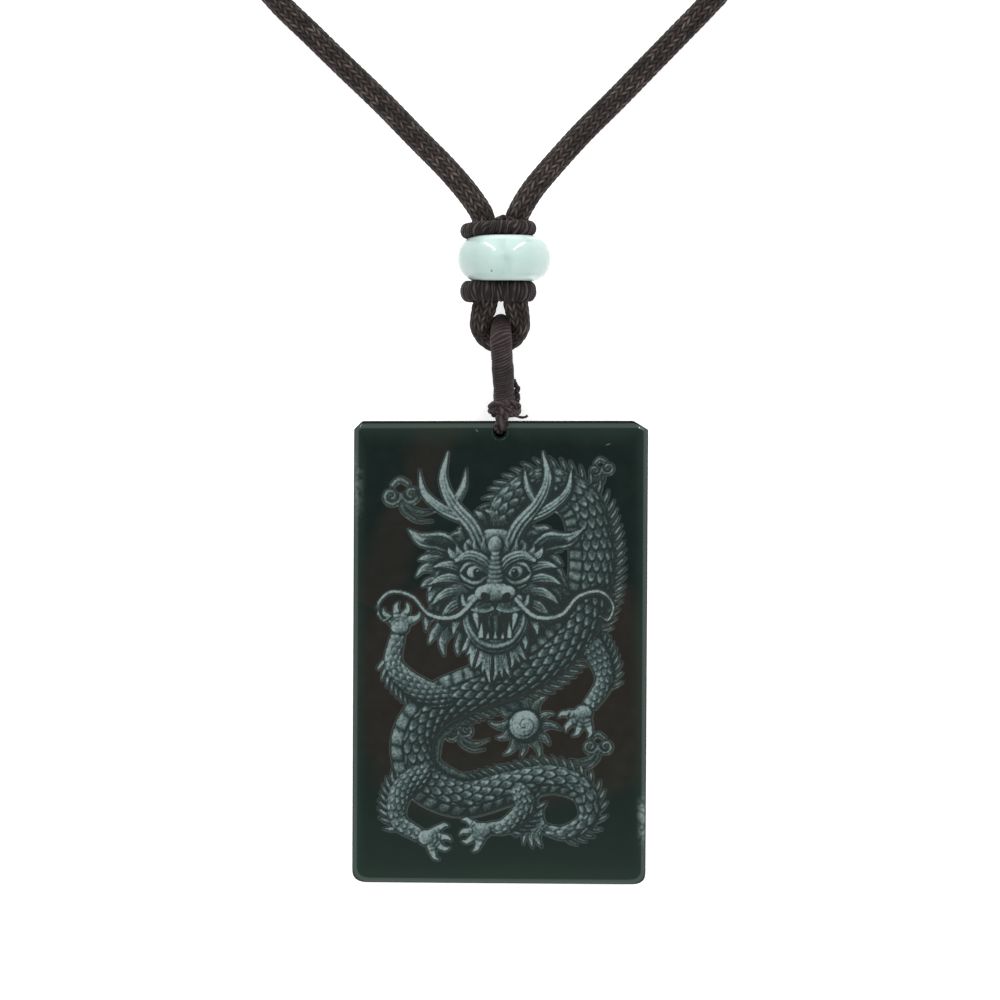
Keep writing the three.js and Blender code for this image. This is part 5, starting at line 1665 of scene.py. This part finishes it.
def dark_jade_material():
    """Polished stone under frost: white = frost * grain * (0.75 + 0.5 fine), and where it is
    above a sixth the frost covers the stone fully, with roughness 0.53 and hardly any gloss."""
    material, tree, shader = new_material("polished_dark_jade",
                                          {"IOR": 1.6, "Specular Tint": (0.58, 0.72, 0.66, 1.0)})
    where = node(tree, "TexCoord").outputs["Object"]
    place = node(tree, "SeparateXYZ", [where])
    x, y, z = place.outputs[0], place.outputs[1], place.outputs[2]
    stone, fine = stone_colour(tree, where, x, y)
    stone = worn(tree, where, x, y, stone)
    # The arris at the foot of the bevel is ground matt, so its gloss is taken down. Its colour
    # there is painted near-black, painted shade in the crease, which frames the slab with a thin
    # dark line.
    arris = near(tree, z, (THICKNESS - BEVEL_DEPTH - 0.04) * MM, 0.36 * MM)
    arris = node(tree, "Math.MULTIPLY", [arris, 2.0], use_clamp=True)
    stone = node(tree, "Mix", {0: node(tree, "Math.MULTIPLY", [arris, 0.9]), 6: stone,
                               7: "#0b0e0d"}, data_type="RGBA")
    frost = node(tree, "Attribute", attribute_name="frost").outputs["Fac"]
    pits = node(tree, "TexNoise", {"Vector": where, "Scale": BLAST_PITS, "Detail": 4.0,
                                   "Roughness": 0.7})
    grain = node(tree, "Math.MULTIPLY_ADD", [pits, 1.9, 0.05])
    white = node(tree, "Math.MULTIPLY",
                 [frost,
                  node(tree, "Math.MULTIPLY",
                       [grain, node(tree, "Math.MULTIPLY_ADD", [fine, 0.5, 0.75])])],
                 use_clamp=True)
    blasted = node(tree, "ValToRGB", [white],
                   stops=[(0.0, "#141c1b"), (0.28, "#1c2524"), (0.5, "#364342"), (0.72, "#566564"),
                          (1.0, "#768583")])
    cover = node(tree, "Math.MULTIPLY", [white, 6.0], use_clamp=True)
    colour = node(tree, "Mix", {0: cover, 6: stone, 7: blasted}, data_type="RGBA")
    roughness = node(tree, "Math.MULTIPLY_ADD", [cover, 0.45, 0.08])
    # Blasted and ground places scatter the light, so the gloss nearly goes there and the
    # cuts stay dark.
    gloss = node(tree, "Math.MULTIPLY", [node(tree, "Math.MULTIPLY_ADD", [cover, -0.4, 0.5]),
                                         node(tree, "Math.MULTIPLY_ADD", [arris, -0.92, 1.0])])
    connect(tree, shader, {"Base Color": colour, "Roughness": roughness,
                           "Specular IOR Level": gloss})
    return material


tablet.data.materials.append(dark_jade_material())

# %% [markdown]
# ## Which piece stands for which solid
# Every piece rides on the one body and takes the place of its solids. Loose thread ends
# have no solid of their own.

# %% Finish
pieces = [
    (tablet, ["jade_tablet"], "dark_jade"),
    (bead, ["bead"], "pale_jade"),
    (neck_cord, ["neck_cord_left", "neck_cord_right", "neck_cord_end", "cord_coil"],
     "braided_cord"),
    (cord_fold, ["cord_bight"], "braided_cord"),
    (lower_ring, ["lower_ring"], "wound_thread"),
    (upper_ring, ["upper_ring"], "wound_thread"),
    (hanging_loop, ["hanging_loop"], "wound_thread"),
    (binding, ["loop_binding"], "wound_thread"),
    (binding_stub, [], "wound_thread"),
    (binding_tail, [], "wound_thread"),
    (ring_end, [], "wound_thread"),
    (tablet_thread[0], ["tablet_thread"], "wound_thread"),
    (tablet_thread[1], [], "wound_thread"),
    (coil_tie, ["coil_tie"], "wound_thread"),
    (join_wrap, ["join_sleeve"], "wound_thread"),
]
for piece, nodes, slot in pieces:
    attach(piece, "root")
    if nodes:
        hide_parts(*nodes)

# %% [markdown]
# ## Floor and light
# The pendant lies on a sheet of white acrylic that is faintly lit from below, in a white
# light tent. The tent has one dark opening straight overhead, where the camera looks in,
# so the flat polished face stays dark while its bevels catch the white. Two tall, narrow
# strip lights stand behind it and draw the bright V on the bead.


# %% Floor
FLOOR_HALF, FLOOR_GRAIN = 3000.0, 900.0


def lit_floor():
    """One square of matt white acrylic, 6 m wide, with a very fine grain and a faint glow."""
    corners = FLOOR_HALF * np.array([(-1, -1, 0), (1, -1, 0), (1, 1, 0), (-1, 1, 0)], float)
    floor = make_mesh("floor", corners, [np.array([[0, 1, 2, 3]])], smooth=False)
    material, tree, shader = new_material("white_acrylic_sheet",
                                          {"Roughness": 0.9, "Specular IOR Level": 0.1,
                                           "Emission Color": (1, 1, 1, 1),
                                           "Emission Strength": 0.42})
    where = node(tree, "TexCoord").outputs["Object"]
    grain = node(tree, "TexNoise", {"Vector": where, "Scale": FLOOR_GRAIN, "Detail": 4.0})
    colour = node(tree, "ValToRGB", [grain], stops=[(0.0, "#f6f6f6"), (1.0, "#ffffff")])
    connect(tree, shader, {"Base Color": colour})
    floor.data.materials.append(material)


lit_floor()


# %% [markdown]
# ## Light tent and strip lights
# A tent could be built of sheets, but light from the world costs no mesh and is even.
# Its brightness depends only on how steeply a direction points up. The strips are two
# area lights, because a highlight needs a sharp edge that the soft tent does not have.


# %% Light tent and strip lights
def light_tent(brightness, opening_dark):
    """Even white all round; between the two heights given as sines the opening turns dark."""
    world = bpy.data.worlds.new("light_tent")
    world.use_nodes = True
    tree = world.node_tree
    tree.nodes.clear()
    up = node(tree, "SeparateXYZ", [node(tree, "TexCoord").outputs["Generated"]]).outputs[2]
    strength = node(tree, "MapRange", {"Value": up, "From Min": 0.95, "From Max": 0.985,
                                       "To Min": brightness, "To Max": opening_dark},
                    interpolation_type="SMOOTHSTEP")
    background = node(tree, "Background", {"Color": (1, 1, 1, 1), "Strength": strength})
    node(tree, "OutputWorld", {"Surface": background})
    bpy.context.scene.world = world


def strip_light(name, azimuth, reach, width, low, high, power):
    """An upright strip at this azimuth and reach from the bead, between two heights, facing it."""
    data = bpy.data.lights.new(name, "AREA")
    data.shape = "RECTANGLE"
    data.size, data.size_y = width * MM, (high - low) * MM
    data.energy = power
    lamp = bpy.data.objects.new(name, data)
    turn = math.radians(azimuth)
    lamp.location = ((BEAD_CENTRE[0] + reach * math.cos(turn)) * MM,
                     (BEAD_CENTRE[1] + reach * math.sin(turn)) * MM,
                     (low + high) / 2 * MM)
    lamp.rotation_euler = (math.pi / 2, 0, turn + math.pi / 2)
    bpy.context.scene.collection.objects.link(lamp)


light_tent(brightness=1.25, opening_dark=0.05)
for name, azimuth in (("left_strip", 123), ("right_strip", 57)):
    strip_light(name, azimuth, reach=500, width=34, low=20, high=660, power=1.3)
